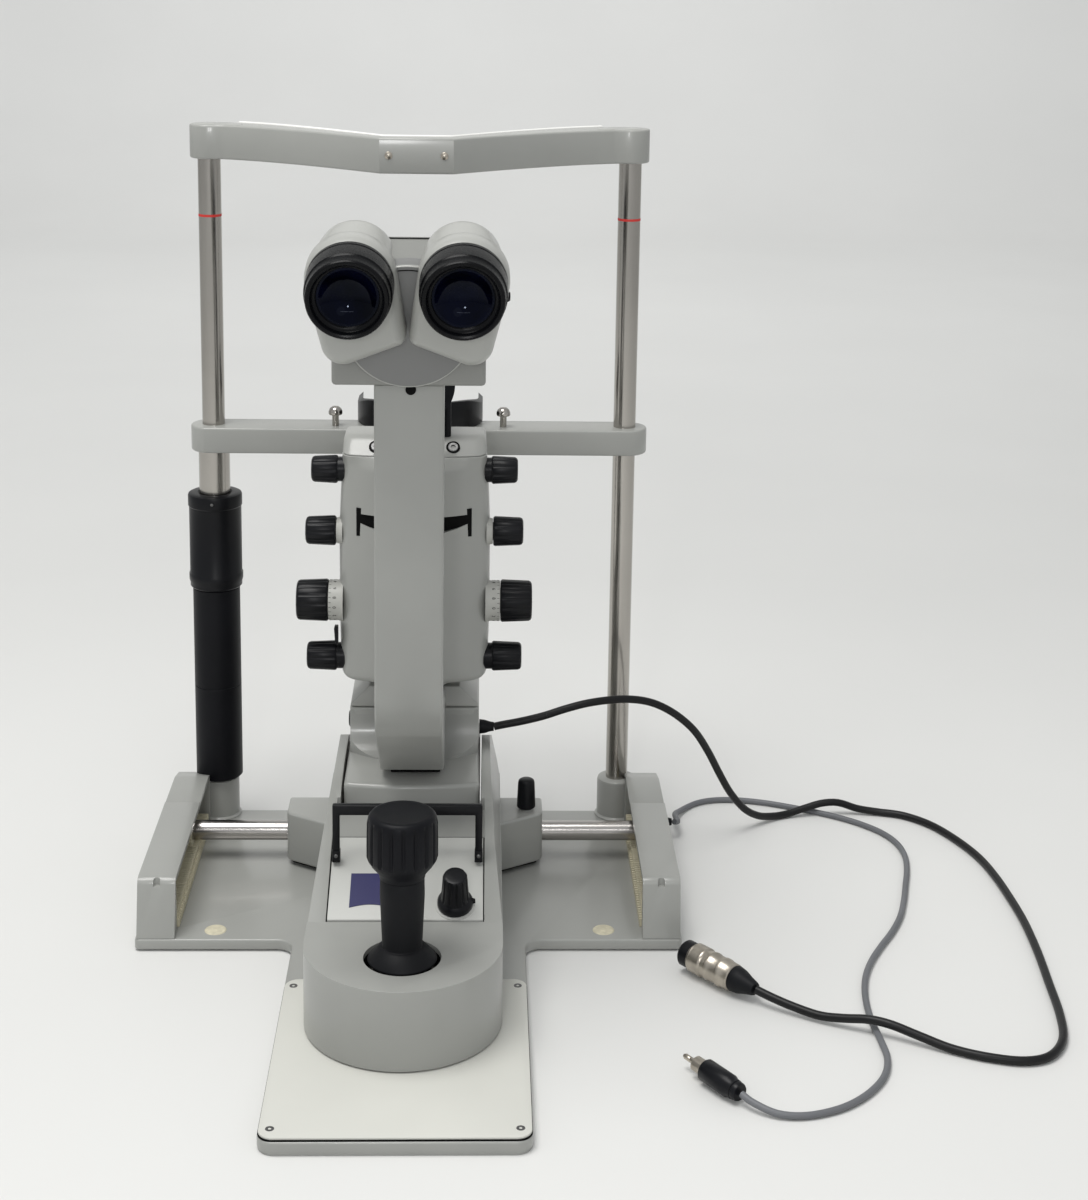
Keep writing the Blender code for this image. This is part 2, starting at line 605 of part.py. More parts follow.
def lock_knob():
    """The clamp screw on the right wing, pressing on the axle."""
    made = turned("lock_knob", [
        (0, 70.4), (4.3, 70.4), (5.4, 68.8), (6.2, 51.4), (5.4, 50.4), (1.6, 50.4),
        (1.6, 38.4), (0, 38.4)], (73.4, -77.5, 0), sides=18)
    finish(made, "black_plastic")


def joystick():
    """Gimbal ring, lever with its skirt, and the fluted cap that turns on it."""
    z = STICK_PIVOT_Z
    ring = turned("gimbal_ring", [(16.5, z + 3.5), (19.5, z + 3.5), (19.5, z - 3.5),
                                  (16.5, z - 3.5), (16.5, z + 3.5)], (0, STICK_Y, 0))
    for side in (-1, 1):
        ring = add(ring, rod("pin", (side * 18, STICK_Y, z), (side * 21.2, STICK_Y, z), 1.8,
                             12))
    finish(ring, "steel")
    lever = turned("joystick_lever", [
        (0, 110), (12.2, 110), (12.4, 100), (11.9, 88), (11.0, 69.4), (12.2, 68.8),
        (19.4, 61.4), (18.9, 60.6), (13.5, 60.6), (9.5, 56), (9.5, 42), (4.5, 38), (4.5, 28), (3.2, 25.4),
        (0, 25.4)], (0, STICK_Y, 0))
    pin = rod("pin", (0, STICK_Y - 16.1, z), (0, STICK_Y + 16.1, z), 1.8, 12)
    finish(add(lever, pin), "rubber_black")
    cap = turned("joystick_cap", [
        (0, 147.4), (17.4, 147.4), (19.0, 145.6), (19.6, 132), (19.6, 122.5), (17.6, 119.4),
        (12.6, 112.5), (12.6, 110.3), (0, 110.3)], (0, STICK_Y, 0))
    finish(cap, "black_plastic")


# ---------------------------------------------------------------- lift and swing axis

def lift():
    """The block that rises between the cheeks, and the head that carries both arms."""
    block = prism("lift_housing", [
        (-LIFT_HALF, LIFT_BACK), *arc((0, LIFT_FRONT + 190), 190, 257.2, 282.8, 8),
        (LIFT_HALF, LIFT_BACK)], SLOT_FLOOR + 1.5, LIFT_TOP)
    finish(bevel(block, 1.2, 1, 60), "grey_paint")

    half, front, back, corner = 41.6, -99.5, -22.0, 3.0
    plan = [(half, front + corner), (half, back - 8), (half - 8, back), (8 - half, back),
            (-half, back - 8), (-half, front + corner), (corner - half, front),
            (half - corner, front)]
    head = prism("lift_head", plan, LIFT_TOP + GAP, HEAD_Z1)
    head = baked(bevel(head, 1.2, 1, 60))
    head = cut(head, rod("post_bore", (0, AXIS_Y, 115), (0, AXIS_Y, 140), 15, ROUND))
    finish(head, "grey_paint")
    post = rod("swivel_post", (0, AXIS_Y, 115.3), (0, AXIS_Y, TOWER_Z0 - 5.4), 14.6, ROUND)
    finish(post, "steel")

    exit_x, exit_y, exit_z = LAMP_EXIT
    gland = turned("lamp_cord_gland", [
        (0, 9.0), (2.9, 9.0), (4.6, 3.5), (4.8, 0), (0, 0)],
        (41.9, exit_y, exit_z), (1, 0, 0), SMALL_ROUND)
    finish(gland, "rubber_black")


# ---------------------------------------------------------------- microscope

def microscope_arm():
    """The shoulder that turns on the post, and the J-shaped arm on its front."""
    half, front, back = 41.0, -99.5, -22.0
    outline = [(-half, HEAD_Z1 + 0.6), (half, HEAD_Z1 + 0.6), (half, HEAD_Z1 + 2.6),
               (29.0, 143.2), (-29.0, 143.2), (-half, HEAD_Z1 + 2.6)]
    carrier = prism("arm_carrier", outline, front, back, "Y")
    carrier = cut(carrier, rod("bore", (0, AXIS_Y, 120), (0, AXIS_Y, 160), 15,
                               ROUND))
    finish(carrier, "grey_paint")

    f, t = ARM_FRONT, ARM_THICK
    side = [(f, 366.0), (f, 178.0), *arc((f + 40, 176.0), 40, 183, 222, 4),
            (-150.5, 110.5), (-146, 105.0), (-121.5, 103.6), (-121.5, 130.0),
            (-99.8, 130.4), (-99.8, 142.8), (-118, 143.6),
            *arc((f + t + 22, 181.0), 22, 235, 183, 4), (f + t, 366.0)]
    arm = prism("microscope_arm", side, -ARM_HALF, ARM_HALF, "X")
    finish(bevel(arm, 1.2, 1, 50), "grey_paint")


def tilted(point):
    """A point of the binocular's own frame, in the column frame."""
    x, y, z = point
    c, s = math.cos(BINO_TILT), math.sin(BINO_TILT)
    return (x, BINO_Y + y * c - z * s, BINO_Z + y * s + z * c)


def tilted_prism(name, outline, low, high):
    """An outline in the binocular's XZ plane, extruded along its optical direction."""
    made = prism(name, outline, low, high, "Y")
    shift = Matrix.Translation(place((0, BINO_Y, BINO_Z)))
    made.matrix_world = (shift @ Matrix.Rotation(BINO_TILT, 4, "X")
                         @ Matrix.Translation(-place((0, 0, 0))))
    return baked(made)


def belt(circles, steps):
    """The outline of a belt stretched round circles (x, z, radius), in counter-clockwise order."""
    normals = []
    for (ax, az, ar), (bx, bz, br) in zip(circles, circles[1:] + circles[:1]):
        along = math.degrees(math.atan2(bz - az, bx - ax))
        lean = math.degrees(math.acos((ar - br) / math.hypot(bx - ax, bz - az)))
        normals.append(along - lean)
    outline = []
    for i, (x, z, r) in enumerate(circles):
        start = normals[i - 1]
        outline += arc((x, z), r, start, start + (normals[i] - start) % 360, steps)
    return outline


def pear(side):
    """Round the eyepiece, the corner by the middle and the pivot lobe below."""
    circles = [(EYE_X, EYE_UP, 25.4), (6.8, -7.0, 6.0), (35.5, -11.5, 12.5)]
    return [(side * x, z) for x, z in belt(circles, 10)][::side]


def microscope_head():
    front, back = -219.0, -150.0
    profile = [(front, 366.6), (front, 428), (-180, 446.5), (back, 446.5), (back, 366.6)]
    head = prism("microscope_head", profile, -43.6, 43.6, "X")
    finish(bevel(head, 2.0, 1, 40), "grey_paint")
    disc = turned("binocular_plate", [(0, 7.0), (35.8, 7.0), (36.6, 6.2), (36.6, -8.0),
                                      (0, -8.0)], tilted((0, 0, -6.8)),
                  (0, -math.cos(BINO_TILT), -math.sin(BINO_TILT)), ROUND)
    block = box("block", (-43.6, -400, 400), (43.6, front - GAP, 520))
    block = cut(disc, box("back", (-60, front - GAP, 300), (60, 0, 520)))
    bpy.data.objects.remove(bpy.data.objects["block"], do_unlink=True)
    finish(block, "grey_paint")
    barrel = turned("objective_barrel", [(0, 13.0), (21.0, 13.0), (22.5, 11.5), (22.5, 0),
                                         (0, 0)], (0, back + GAP, 417.0), (0, 1, 0))
    barrel = cut(barrel, rod("recess", (0, back + 11, 417), (0, back + 30, 417), 19.0,
                             ROUND))
    finish(barrel, "black_plastic")


def eyepieces():
    view = (0, -math.cos(BINO_TILT), -math.sin(BINO_TILT))
    for side in (-1, 1):
        front = bevel(tilted_prism(side_name(side, "eye_tube"), pear(side), -27.0, -7.4),
                      2.0, 1, 50)
        rear = rod("rear", tilted((side * EYE_X, -9, EYE_UP)),
                   tilted((side * 28.2, 24, EYE_UP)), 23.6, ROUND, 16.5)
        rear = cut(rear, tilted_prism("under", [(-80, -60), (80, -60), (80, 31.5),
                                                (-80, 31.5)], -7.6, 60))
        rear = cut(rear, prism("clearance", [(-220.6, 340), (-220.6, 430.2), (-181, 449.0),
                                             (-120, 449.0), (-120, 340)], -80, 80, "X"))
        finish(add(front, rear), "grey_paint")
        eyepiece = turned(side_name(side, "eyepiece"), [
            (0, 17.0), (15.6, 17.0), (19.0, 20.6), (21.8, 22.2), (22.7, 21.2), (24.3, 10.0),
            (24.3, 2.0), (21.5, 1.0), (21.5, 0.3), (0, 0.3)],
            tilted((side * EYE_X, -27.0, EYE_UP)), view, 24)
        finish(eyepiece, "rubber_black")


# ---------------------------------------------------------------- illumination tower

def tower_plan(inset=0.0):
    """The tower's plan: a bowed front between straight sides."""
    half, front = TOWER_HALF - inset, TOWER_FRONT + inset
    bulge = TOWER_SIDE + inset - front
    radius = (half ** 2 + bulge ** 2) / (2 * bulge)
    spread = math.degrees(math.asin(half / radius))
    return (arc((0, front + radius), radius, 270 - spread, 270 + spread, 8)
            + [(half, TOWER_REAR - inset), (-half, TOWER_REAR - inset)])


def tower():
    """The hollow housing of the slit lamp's light, and its cap."""
    body = prism("tower_housing", tower_plan(), TOWER_Z0, TOWER_SEAM)
    slope = [(TOWER_FRONT - 5, TOWER_SLOPE - 6), (TOWER_FRONT + 1.5, TOWER_SLOPE),
             (TOWER_FRONT + 12, TOWER_SEAM + 3.2), (TOWER_FRONT + 12, TOWER_SEAM + 20),
             (TOWER_FRONT - 5, TOWER_SEAM + 20)]
    body = cut(body, prism("slope", slope, -80, 80, "X"))
    body = cut(body, prism("hollow", tower_plan(5.0), TOWER_Z0 + 4, TOWER_SEAM + 5))
    body = cut(body, box("lever_slot", (-36, -130, 253.5), (33, -108, 260.5)))
    body = add(body, box("foot", (-24, -116, 147), (24, AXIS_Y, TOWER_Z0 + 1)))
    body = add(body, rod("foot_disc", (0, AXIS_Y, 147), (0, AXIS_Y, TOWER_Z0 + 0.7), 24.2,
                         ROUND))
    for name, z, radius, inner, outer in KNOBS:
        body = cut(body, rod("bore", (-90, KNOB_Y, z), (90, KNOB_Y, z), 3.4, 16))
    finish(body, "grey_paint")

    cap = prism("tower_cap", tower_plan(1.0), TOWER_SEAM + GAP, TOWER_TOP)
    top_slope = [(TOWER_FRONT - 5, TOWER_SEAM - 5), (TOWER_FRONT + 9.0, TOWER_SEAM),
                 (TOWER_FRONT + 24, TOWER_TOP + 0.5), (TOWER_FRONT + 24, TOWER_TOP + 9),
                 (TOWER_FRONT - 5, TOWER_TOP + 9)]
    cap = cut(cap, prism("top_slope", top_slope, -80, 80, "X"))
    finish(bevel(cap, 1.2, 1, 60), "grey_paint")

    for name, z, radius, inner, outer in KNOBS:
        profile = [(0, outer), (radius - 1.6, outer), (radius - 0.4, outer - 1.4),
                   (radius, inner), (3.0, inner), (3.0, -inner), (radius, -inner),
                   (radius - 0.4, 1.4 - outer), (radius - 1.6, -outer), (0, -outer)]
        knobs = turned(name, profile, (0, KNOB_Y, z), (1, 0, 0), 24)
        finish(knobs, "black_plastic")


def prism_column():
    """The stalk on the tower with its 45-degree head, level with the microscope's axis."""
    y = -98.0
    drum = rod("prism_column", (0, y - 9, 343), (0, y + 15, 343), 25.0, ROUND)
    drum = bevel(drum, 1.5, 1)
    stalk = prism("stalk", rounded((-13, y - 9), (13, y + 15), 5, 3), 340, 404)
    foot = prism("foot", rounded((-17, y - 9), (17, y + 15), 5, 3), TOWER_TOP + GAP, 330)
    column = add(add(drum, stalk), foot)
    head = box("head", (-14, y - 9, 402), (14, y + 17, 436))
    column = add(column, head)
    mouth = prism("mouth", [(y + 30, 406), (y - 5, 406), (y + 14, 432), (y + 30, 432)],
                  -11.5, 11.5, "X")
    finish(cut(column, mouth), "black_plastic")
    glass = prism("illumination_prism", [(y + 16, 406.4), (y - 4, 406.4),
                                         (y + 13.6, 431), (y + 16, 431)],
                  -11.0, 11.0, "X")
    finish(glass, "glass")


def lamp():
    """The lamp with its base at the foot of the tower, under the condenser."""
    made = turned("lamp_bulb", [
        (0, 196.4), (3.5, 195.4), (6.5, 190), (7.0, 185), (5.0, 178), (11.0, 177.6),
        (11.0, 172), (8.0, 171.6), (8.0, 168.2), (0, 168.2)], (0, KNOB_Y + 5.6, 0), sides=16)
    finish(made, "glass")


# ---------------------------------------------------------------- cords

def cords():
    finish(tube("lamp_cord_riser", RISER_ROUTE, LAMP_CORD_R), "rubber_black")
    finish(tube("lamp_cord_span", SPAN_ROUTE, LAMP_CORD_R), "rubber_black")
    finish(tube("lamp_cord", FLOOR_ROUTE, LAMP_CORD_R, 3.6), "rubber_black")
    finish(tube("signal_cord", SIGNAL_ROUTE, SIGNAL_CORD_R, 4.6), "cable_grey")

    end = Vector(FLOOR_ROUTE[-1])
    relief = turned("strain_relief", [
        (0, 17.0), (7.4, 17.0), (7.0, 12.0), (4.6, 4.0), (3.6, 1.3), (0, 1.3)],
        end, CONNECTOR_DIR, SMALL_ROUND)
    finish(relief, "rubber_black")
    connector = turned("connector_body", [
        (0, 57.0), (7.4, 57.0), (7.8, 56.4), (7.8, 50), (8.9, 50), (9.0, 41), (8.2, 40),
        (8.2, 38.5), (8.8, 38), (8.8, 19.0), (8.0, 17.3), (0, 17.3)],
        end, CONNECTOR_DIR, 24)
    finish(connector, "nickel")

    end = Vector(SIGNAL_ROUTE[-1])
    plug = turned("signal_plug", [
        (0, 47.0), (1.0, 46.6), (1.6, 45.4), (1.6, 37.0), (4.3, 37.0), (4.3, 29.0),
        (6.2, 29.0), (6.3, 9.0), (5.6, 8.0), (5.2, 2.0), (4.6, 1.4), (0, 1.4)],
        end, PLUG_DIR, SMALL_ROUND)
    finish(plug, "black_plastic")
    gland = turned("signal_cord_gland", [
        (0, 8.0), (2.4, 8.0), (4.2, 3.0), (4.4, 0), (0, 0)],
        (COVER_OUT + GAP, -26.0, 17.0), (1, 0, 0), SMALL_ROUND)
    finish(gland, "rubber_black")


# ---------------------------------------------------------------- assembly

base_plate()
slide_plate()
for hand in (-1, 1):
    rail_cover(hand)
    column_bracket(hand)
    rack(hand)
    pinion(hand)
cross_shaft()
columns()
forehead_bar()
forehead_band()
chin_rest()
lift_column()
base_housing()
chassis()
control_panel()
brightness_knob()
bail_handle()
lock_knob()
joystick()
lift()
microscope_arm()
microscope_head()
eyepieces()
tower()
prism_column()
lamp()
cords()
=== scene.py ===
"""Looks of the slit lamp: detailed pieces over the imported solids, materials, light and camera.

Lengths are in millimetres in the column frame (origin midway between the headrest columns,
X to the examiner's right, Y towards the patient); place() turns them into world metres.
"""

import math

import bmesh
import bpy
from mathutils import Matrix, Vector


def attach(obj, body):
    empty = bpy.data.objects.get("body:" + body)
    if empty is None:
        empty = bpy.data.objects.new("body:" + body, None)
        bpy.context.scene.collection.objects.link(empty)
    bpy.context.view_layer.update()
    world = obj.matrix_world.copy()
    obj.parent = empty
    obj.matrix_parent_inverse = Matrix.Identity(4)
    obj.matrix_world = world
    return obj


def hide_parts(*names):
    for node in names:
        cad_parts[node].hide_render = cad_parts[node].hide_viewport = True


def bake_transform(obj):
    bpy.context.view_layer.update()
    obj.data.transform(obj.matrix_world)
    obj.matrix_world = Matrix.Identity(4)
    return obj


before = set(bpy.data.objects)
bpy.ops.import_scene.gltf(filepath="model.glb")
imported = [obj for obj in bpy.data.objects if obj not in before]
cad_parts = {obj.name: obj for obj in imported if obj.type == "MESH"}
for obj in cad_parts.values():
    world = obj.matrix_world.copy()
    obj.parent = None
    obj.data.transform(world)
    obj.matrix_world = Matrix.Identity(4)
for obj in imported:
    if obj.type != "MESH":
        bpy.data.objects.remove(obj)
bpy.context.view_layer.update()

MM = 0.001
DATUM_Z = 4.4                   # heights are counted from this far below the table top
COLUMN_Y = 188.25               # the columns' place in the object's frame
GAP = 0.3                       # clearance between neighbouring pieces
GRAIN_HEIGHT = 0.00006          # metres: how deep a material's grain is at full strength

# Base
BASE_HALF, BASE_FRONT, BASE_REAR = 168, -188.5, 4
BASE_TOP, BASE_UNDER = 12.2, 5.4
STEM_HALF, STEM_FRONT = 71.2, -406.5
PLATE_BACK, PLATE_FRONT, PLATE_TOP = -240.8, -405.2, 14.2
COVER_IN, COVER_OUT, COVER_TOP, COVER_SPLIT = 143.6, 166.8, 47.8, -64.3
TOOTH = math.pi                 # pitch of the racks' teeth
SHAFT_Y, SHAFT_Z, SHAFT_R, SHAFT_HALF = -71, 31, 6.5, 157

# Headrest
COLUMN_X, COLUMN_R, COLUMN_TOP = 138.5, 7.5, 486
SOCKET_R, SOCKET_TOP = 13.4, 40
BAR_BOTTOM, BAR_TOP, BAR_END_R, BAR_BOW = 471.2, 493.4, 12.4, -84
CHIN_BOTTOM, CHIN_TOP, CHIN_DEPTH = 274.6, 292, 14.4
HANDLE_R, SLEEVE_R, LIFT_TUBE_R = 18.2, 15.9, 10.4
HANDLE_Z0, HANDLE_Z1, SLEEVE_Z0 = 178.5, 244.5, 41

# Instrument base
DRUM_Y, DRUM_R, DECK_Z = -288.8, 56, 62
HOUSING_Z0, HOUSING_REAR = 15.2, -48
PANEL_LOW, PANEL_HIGH = (-263.6, 62), (-205, 86)
CHEEK_TOP, CHEEK_TOP_HALF = 101, 49
SLOT_HALF, SLOT_FRONT, SLOT_FLOOR = 43.6, -161.5, 42
WING_HALF, WING_TOP, WING_REAR, WING_TIP, WING_ROOT = 84.2, 49, -58, -84.6, -101
STICK_Y, STICK_HOLE_R = -305.5, 21.6
LOCK_AT = (73.4, -77.5, 0)

# Lift, microscope and tower
AXIS_Y = -60                    # the swing axis of the microscope and the tower
LIFT_HALF, LIFT_FRONT, LIFT_BACK, LIFT_TOP = 42.8, -159, -50, 100
HEAD_Z1 = 128.4
SHOULDER_FRONT, SHOULDER_BACK = -99.5, -22
ARM_HALF, ARM_FRONT, ARM_THICK = 20, -212, 20
BINO_Y, BINO_Z, BINO_TILT = -222, 410, math.radians(11)
BINO_VIEW = (0, -math.cos(BINO_TILT), -math.sin(BINO_TILT))
EYE_X, EYE_UP = 31, 24.8
OBJECTIVE_Z = 417
TOWER_HALF, TOWER_FRONT, TOWER_REAR = 47.6, -125, -78
TOWER_Z0, TOWER_SEAM, TOWER_TOP = 152, 298.6, 314
LID_SCREW_Y, LID_SCREW_Z = -109.6, 303.9
KNOB_Y, KNOB_NECK_X = -100, 44
DIAL_Z, DIAL_R, TICK_X, DIGIT_X = 201, 12.9, 53.2, 50.2
APERTURE_Z = 247
KNOBS = (                       # name, height, radius, inner and outer face, flutes
    ("filter_knobs", 287, 8.9, 48.2, 64.7, 10),
    ("aperture_knobs", APERTURE_Z, 9.5, 49.6, 68.6, 10),
    ("slit_width_knobs", DIAL_Z, 13.5, 54.6, 74.6, 14),
    ("slit_tilt_knobs", 164, 9.5, 49.4, 68.4, 10),
)

# Cords
LAMP_CORD_R, SIGNAL_CORD_R = 2.55, 1.95
CORD_STEP, CORD_LIFT = 3.2, 0.12    # spacing of a cord's points, and its gap to the floor
LAMP_CUTS = (84, 178, 228)      # X where the cord passes from one moving body to the next
LAMP_ROUTE = ((51.8, -75, 106), (58, -75.3, 107.5), (70, -75.5, 110), (84, -74.5, 113.2),
    (98, -72, 117), (112, -69, 119.8), (126, -65, 120.6), (140, -60.5, 119.8), (154, -56, 116.5),
    (166, -52, 110.5), (178, -47, 101), (189, -41, 88.5), (199, -33, 71), (207.8, -26, 52.7),
    (216.8, -20.1, 35.8), (227.8, -12.4, 20.8), (238.6, -3.8, 11.9), (249, 3.6, 8),
    (260.4, 9.1, 7.1), (274.3, 12.5, 10.2), (287.2, 14.6, 13.2), (299.1, 15.4, 13.2),
    (313, 15.3, 8.8), (328.9, 13, 7.1), (344.8, 7.1, 7.1), (360.3, -8.1, 7.1), (372.6, -31.6, 7.1),
    (382, -59.4, 7.1), (386.4, -87.3, 7.1), (388.5, -119, 7.1), (389.3, -153.8, 7.1),
    (387.5, -193.5, 7.1), (384, -233.2, 7.1), (380.5, -269.9, 7.1), (374.6, -297.7, 7.1),
    (362.7, -315.6, 7.1), (347.1, -321, 7.1), (327.9, -317.1, 7.1), (309, -308.6, 7.4),
    (292.2, -299.7, 10.2), (277.3, -292, 13), (265.4, -286.1, 13), (252.5, -280.2, 10.4),
    (239.6, -273.9, 8.6), (225.7, -266.1, 9.8), (213.7, -258.8, 11.8), (205.4, -252.8, 13.4))
SIGNAL_ROUTE = ((177.6, -26, 17), (180.5, -19.5, 14.6), (180.5, -0.9, 11.4), (184.9, 12, 8),
    (191.9, 23, 6.5), (201.8, 31.4, 6.5), (214.7, 35.4, 6.5), (230.6, 34.9, 6.5),
    (248.5, 30.4, 6.5), (266.4, 22.8, 6.5), (282.9, 14.4, 6.5), (298.1, 5.1, 6.5), (312, -6.3, 6.5),
    (323.9, -20.7, 6.5), (330.9, -37.6, 6.5), (332.5, -57.5, 6.5), (329.4, -79.3, 6.5),
    (324.2, -101.1, 6.5), (318.5, -124, 6.5), (311.5, -146.8, 6.5), (302.1, -167.7, 6.5),
    (291.7, -186.5, 6.5), (282.2, -205.4, 6.5), (274.8, -226.2, 6.5), (270.5, -250.1, 6.5),
    (269.3, -274.9, 6.5), (270.6, -297.7, 6.5), (270.6, -317.6, 6.5), (264.9, -336.4, 6.5),
    (252.5, -353.8, 6.5), (236.6, -366.7, 6.5), (217.7, -373.7, 6.5), (201.8, -373.2, 7.2),
    (189.4, -366.8, 9.6), (183.6, -360.7, 11.2))
CONNECTOR_DIR = Vector((-0.66, 0.751, 0.03)).normalized()
PLUG_DIR = Vector((-0.585, 0.811, 0.02)).normalized()


# ---------------------------------------------------------------- helpers

def place(point):
    return Vector((point[0], point[1] + COLUMN_Y, point[2] - DATUM_Z)) * MM


def adopt(name, mesh, matrix=None):
    made = bpy.data.objects.new(name, mesh)
    bpy.context.scene.collection.objects.link(made)
    if matrix is not None:
        made.matrix_world = matrix
    return made


def baked(made):
    """The object with its modifiers applied and its transform written into its mesh."""
    bpy.context.view_layer.update()
    graph = bpy.context.evaluated_depsgraph_get()
    mesh = bpy.data.meshes.new_from_object(made.evaluated_get(graph))
    mesh.transform(made.matrix_world)
    shape = bmesh.new()
    shape.from_mesh(mesh)
    bmesh.ops.remove_doubles(shape, verts=shape.verts, dist=1e-6)
    bmesh.ops.recalc_face_normals(shape, faces=shape.faces)
    shape.to_mesh(mesh)
    shape.free()
    name = made.name
    bpy.data.objects.remove(made, do_unlink=True)
    return adopt(name, mesh)


def combine(body, tool, operation):
    body, tool = baked(body), baked(tool)
    step = body.modifiers.new("boolean", "BOOLEAN")
    step.operation = operation
    step.object = tool
    made = baked(body)
    bpy.data.objects.remove(tool, do_unlink=True)
    return made


def add(body, tool):
    return combine(body, tool, "UNION")


def cut(body, tool):
    return combine(body, tool, "DIFFERENCE")


def bevel(made, width, segments=3, angle=30):
    step = made.modifiers.new("bevel", "BEVEL")
    step.width = width * MM
    step.segments = segments
    step.angle_limit = math.radians(angle)
    step.harden_normals = False
    return made


def solid(name, points, faces):
    """A mesh from world points, baked so that its normals face out."""
    mesh = bpy.data.meshes.new(name)
    mesh.from_pydata(points, [], faces)
    return baked(adopt(name, mesh))


def prism(name, outline, low, high, axis="Z"):
    """A flat outline extruded along an axis. Outline pairs are XY, XZ or YZ in order."""
    order = {"Z": lambda u, v, w: (u, v, w), "Y": lambda u, v, w: (u, w, v),
        "X": lambda u, v, w: (w, u, v)}[axis]
    n = len(outline)
    points = [place(order(u, v, w)) for w in (low, high) for u, v in outline]
    sides = [(i, (i + 1) % n, n + (i + 1) % n, n + i) for i in range(n)]
    return solid(name, points, [range(n)[::-1], range(n, 2 * n), *sides])


def rectangle(low, high):
    return [(low[0], low[1]), (high[0], low[1]), (high[0], high[1]), (low[0], high[1])]


def box(name, low, high):
    return prism(name, rectangle(low, high), low[2], high[2])


def axes_along(direction):
    """Two unit vectors square to a direction."""
    d = Vector(direction).normalized()
    side = Vector((0, 0, 1)) if abs(d.z) < 0.9 else Vector((1, 0, 0))
    u = side.cross(d).normalized()
    return u, d.cross(u), d


def lathe(name, profile, origin, direction=(0, 0, 1), sides=72, flutes=0, groove=0, span=None):
    """A turned solid from (radius, height) pairs, with optional grooves along it.

    A profile that is no closed ring gets a flat end wherever it stops short of the axis.
    """
    if profile[0] != profile[-1]:
        profile = [*([(0, profile[0][1])] if profile[0][0] else []), *profile,
            *([(0, profile[-1][1])] if profile[-1][0] else [])]
    u, v, d = axes_along(direction)
    base = Vector(origin)
    points, rings = [], []
    if flutes:
        sides = flutes * 10
    for r, h in profile:
        if r < 1e-6:
            rings.append([len(points)])
            points.append(place(base + d * h))
            continue
        ring = []
        for i in range(sides):
            a = 2 * math.pi * i / sides
            radius = r
            if flutes and span and span[0] <= h <= span[1]:
                wave = (i % 10) / 10
                radius -= groove * max(0, math.sin(math.pi * min(1, wave / 0.4)))
            ring.append(len(points))
            points.append(place(base + d * h + (u * math.cos(a) + v * math.sin(a)) * radius))
        rings.append(ring)
    faces = []
    for a, b in zip(rings, rings[1:]):
        for i in range(max(len(a), len(b))):
            j = (i + 1) % max(len(a), len(b))
            if len(a) == 1:
                faces.append((a[0], b[j], b[i]))
            elif len(b) == 1:
                faces.append((a[i], a[j], b[0]))
            else:
                faces.append((a[i], a[j], b[j], b[i]))
    return solid(name, points, faces)


def rod(name, start, end, radius, sides):
    a, b = Vector(start), Vector(end)
    return lathe(name, [(radius, 0), (radius, (b - a).length)], a, b - a, sides)


def arc(centre, radius, start, end, steps):
    angles = [math.radians(start + (end - start) * i / steps) for i in range(steps + 1)]
    return [(centre[0] + radius * math.cos(a), centre[1] + radius * math.sin(a)) for a in angles]


def rounded(low, high, radius, steps=8):
    corners = ((high[0], high[1], 0), (low[0], high[1], 90), (low[0], low[1], 180),
        (high[0], low[1], 270))
    outline = []
    for x, y, start in corners:
        inset = (x - math.copysign(radius, x - (low[0] + high[0]) / 2),
            y - math.copysign(radius, y - (low[1] + high[1]) / 2))
        outline += arc(inset, radius, start, start + 90, steps)
    return outline


def loft(name, sections):
    """A closed skin through outlines with the same number of points, with flat ends."""
    n = len(sections[0])
    points = [place(p) for section in sections for p in section]
    faces = [list(range(n))[::-1], list(range(n * (len(sections) - 1), n * len(sections)))]
    for k in range(len(sections) - 1):
        for i in range(n):
            j = (i + 1) % n
            faces.append((k * n + i, k * n + j, (k + 1) * n + j, (k + 1) * n + i))
    return solid(name, points, faces)


def smooth_path(route):
    """Evenly spaced points on one smooth curve through a route."""
    guide = [Vector(p) for p in route]
    ends = [guide[0] * 2 - guide[1], *guide, guide[-1] * 2 - guide[-2]]
    fine = []
    for a, b, c, d in zip(ends, ends[1:], ends[2:], ends[3:]):
        for i in range(24):
            t = i / 24
            fine.append(0.5 * ((2 * b) + (c - a) * t + (2 * a - 5 * b + 4 * c - d) * t * t
                + (3 * b - a - 3 * c + d) * t ** 3))
    fine.append(guide[-1])
    reach = [0]
    for a, b in zip(fine, fine[1:]):
        reach.append(reach[-1] + (b - a).length)
    count = max(4, round(reach[-1] / CORD_STEP))
    points, k = [], 0
    for n in range(count + 1):
        want = reach[-1] * n / count
        while k < len(reach) - 2 and reach[k + 1] < want:
            k += 1
        points.append(fine[k].lerp(fine[k + 1], (want - reach[k]) / (reach[k + 1] - reach[k])))
    return points


def tube(name, points, radius):
    """A round cord along points, made of rings that turn as little as they can."""
    made, across, sides = [], None, 20
    for i, p in enumerate(points):
        ahead = (points[min(i + 1, len(points) - 1)] - points[max(i - 1, 0)]).normalized()
        across = axes_along(ahead)[0] if across is None else across
        across = (across - ahead * across.dot(ahead)).normalized()
        other = ahead.cross(across)
        made.append([p + (across * math.cos(2 * math.pi * k / sides)
            + other * math.sin(2 * math.pi * k / sides)) * radius for k in range(sides)])
    return loft(name, made)


def joined(pieces, name):
    """Separate meshes as one object."""
    shape = bmesh.new()
    for piece in pieces:
        shape.from_mesh(piece.data)
    mesh = bpy.data.meshes.new(name)
    shape.to_mesh(mesh)
    shape.free()
    for piece in pieces:
        bpy.data.objects.remove(piece, do_unlink=True)
    return adopt(name, mesh)


def mirrored(x):
    return (-x, x)


def both_halves(right):
    """A closed outline from its right half."""
    return right + [(-x, y) for x, y in reversed(right)]


# ---------------------------------------------------------------- materials

SLOT_OF = {}


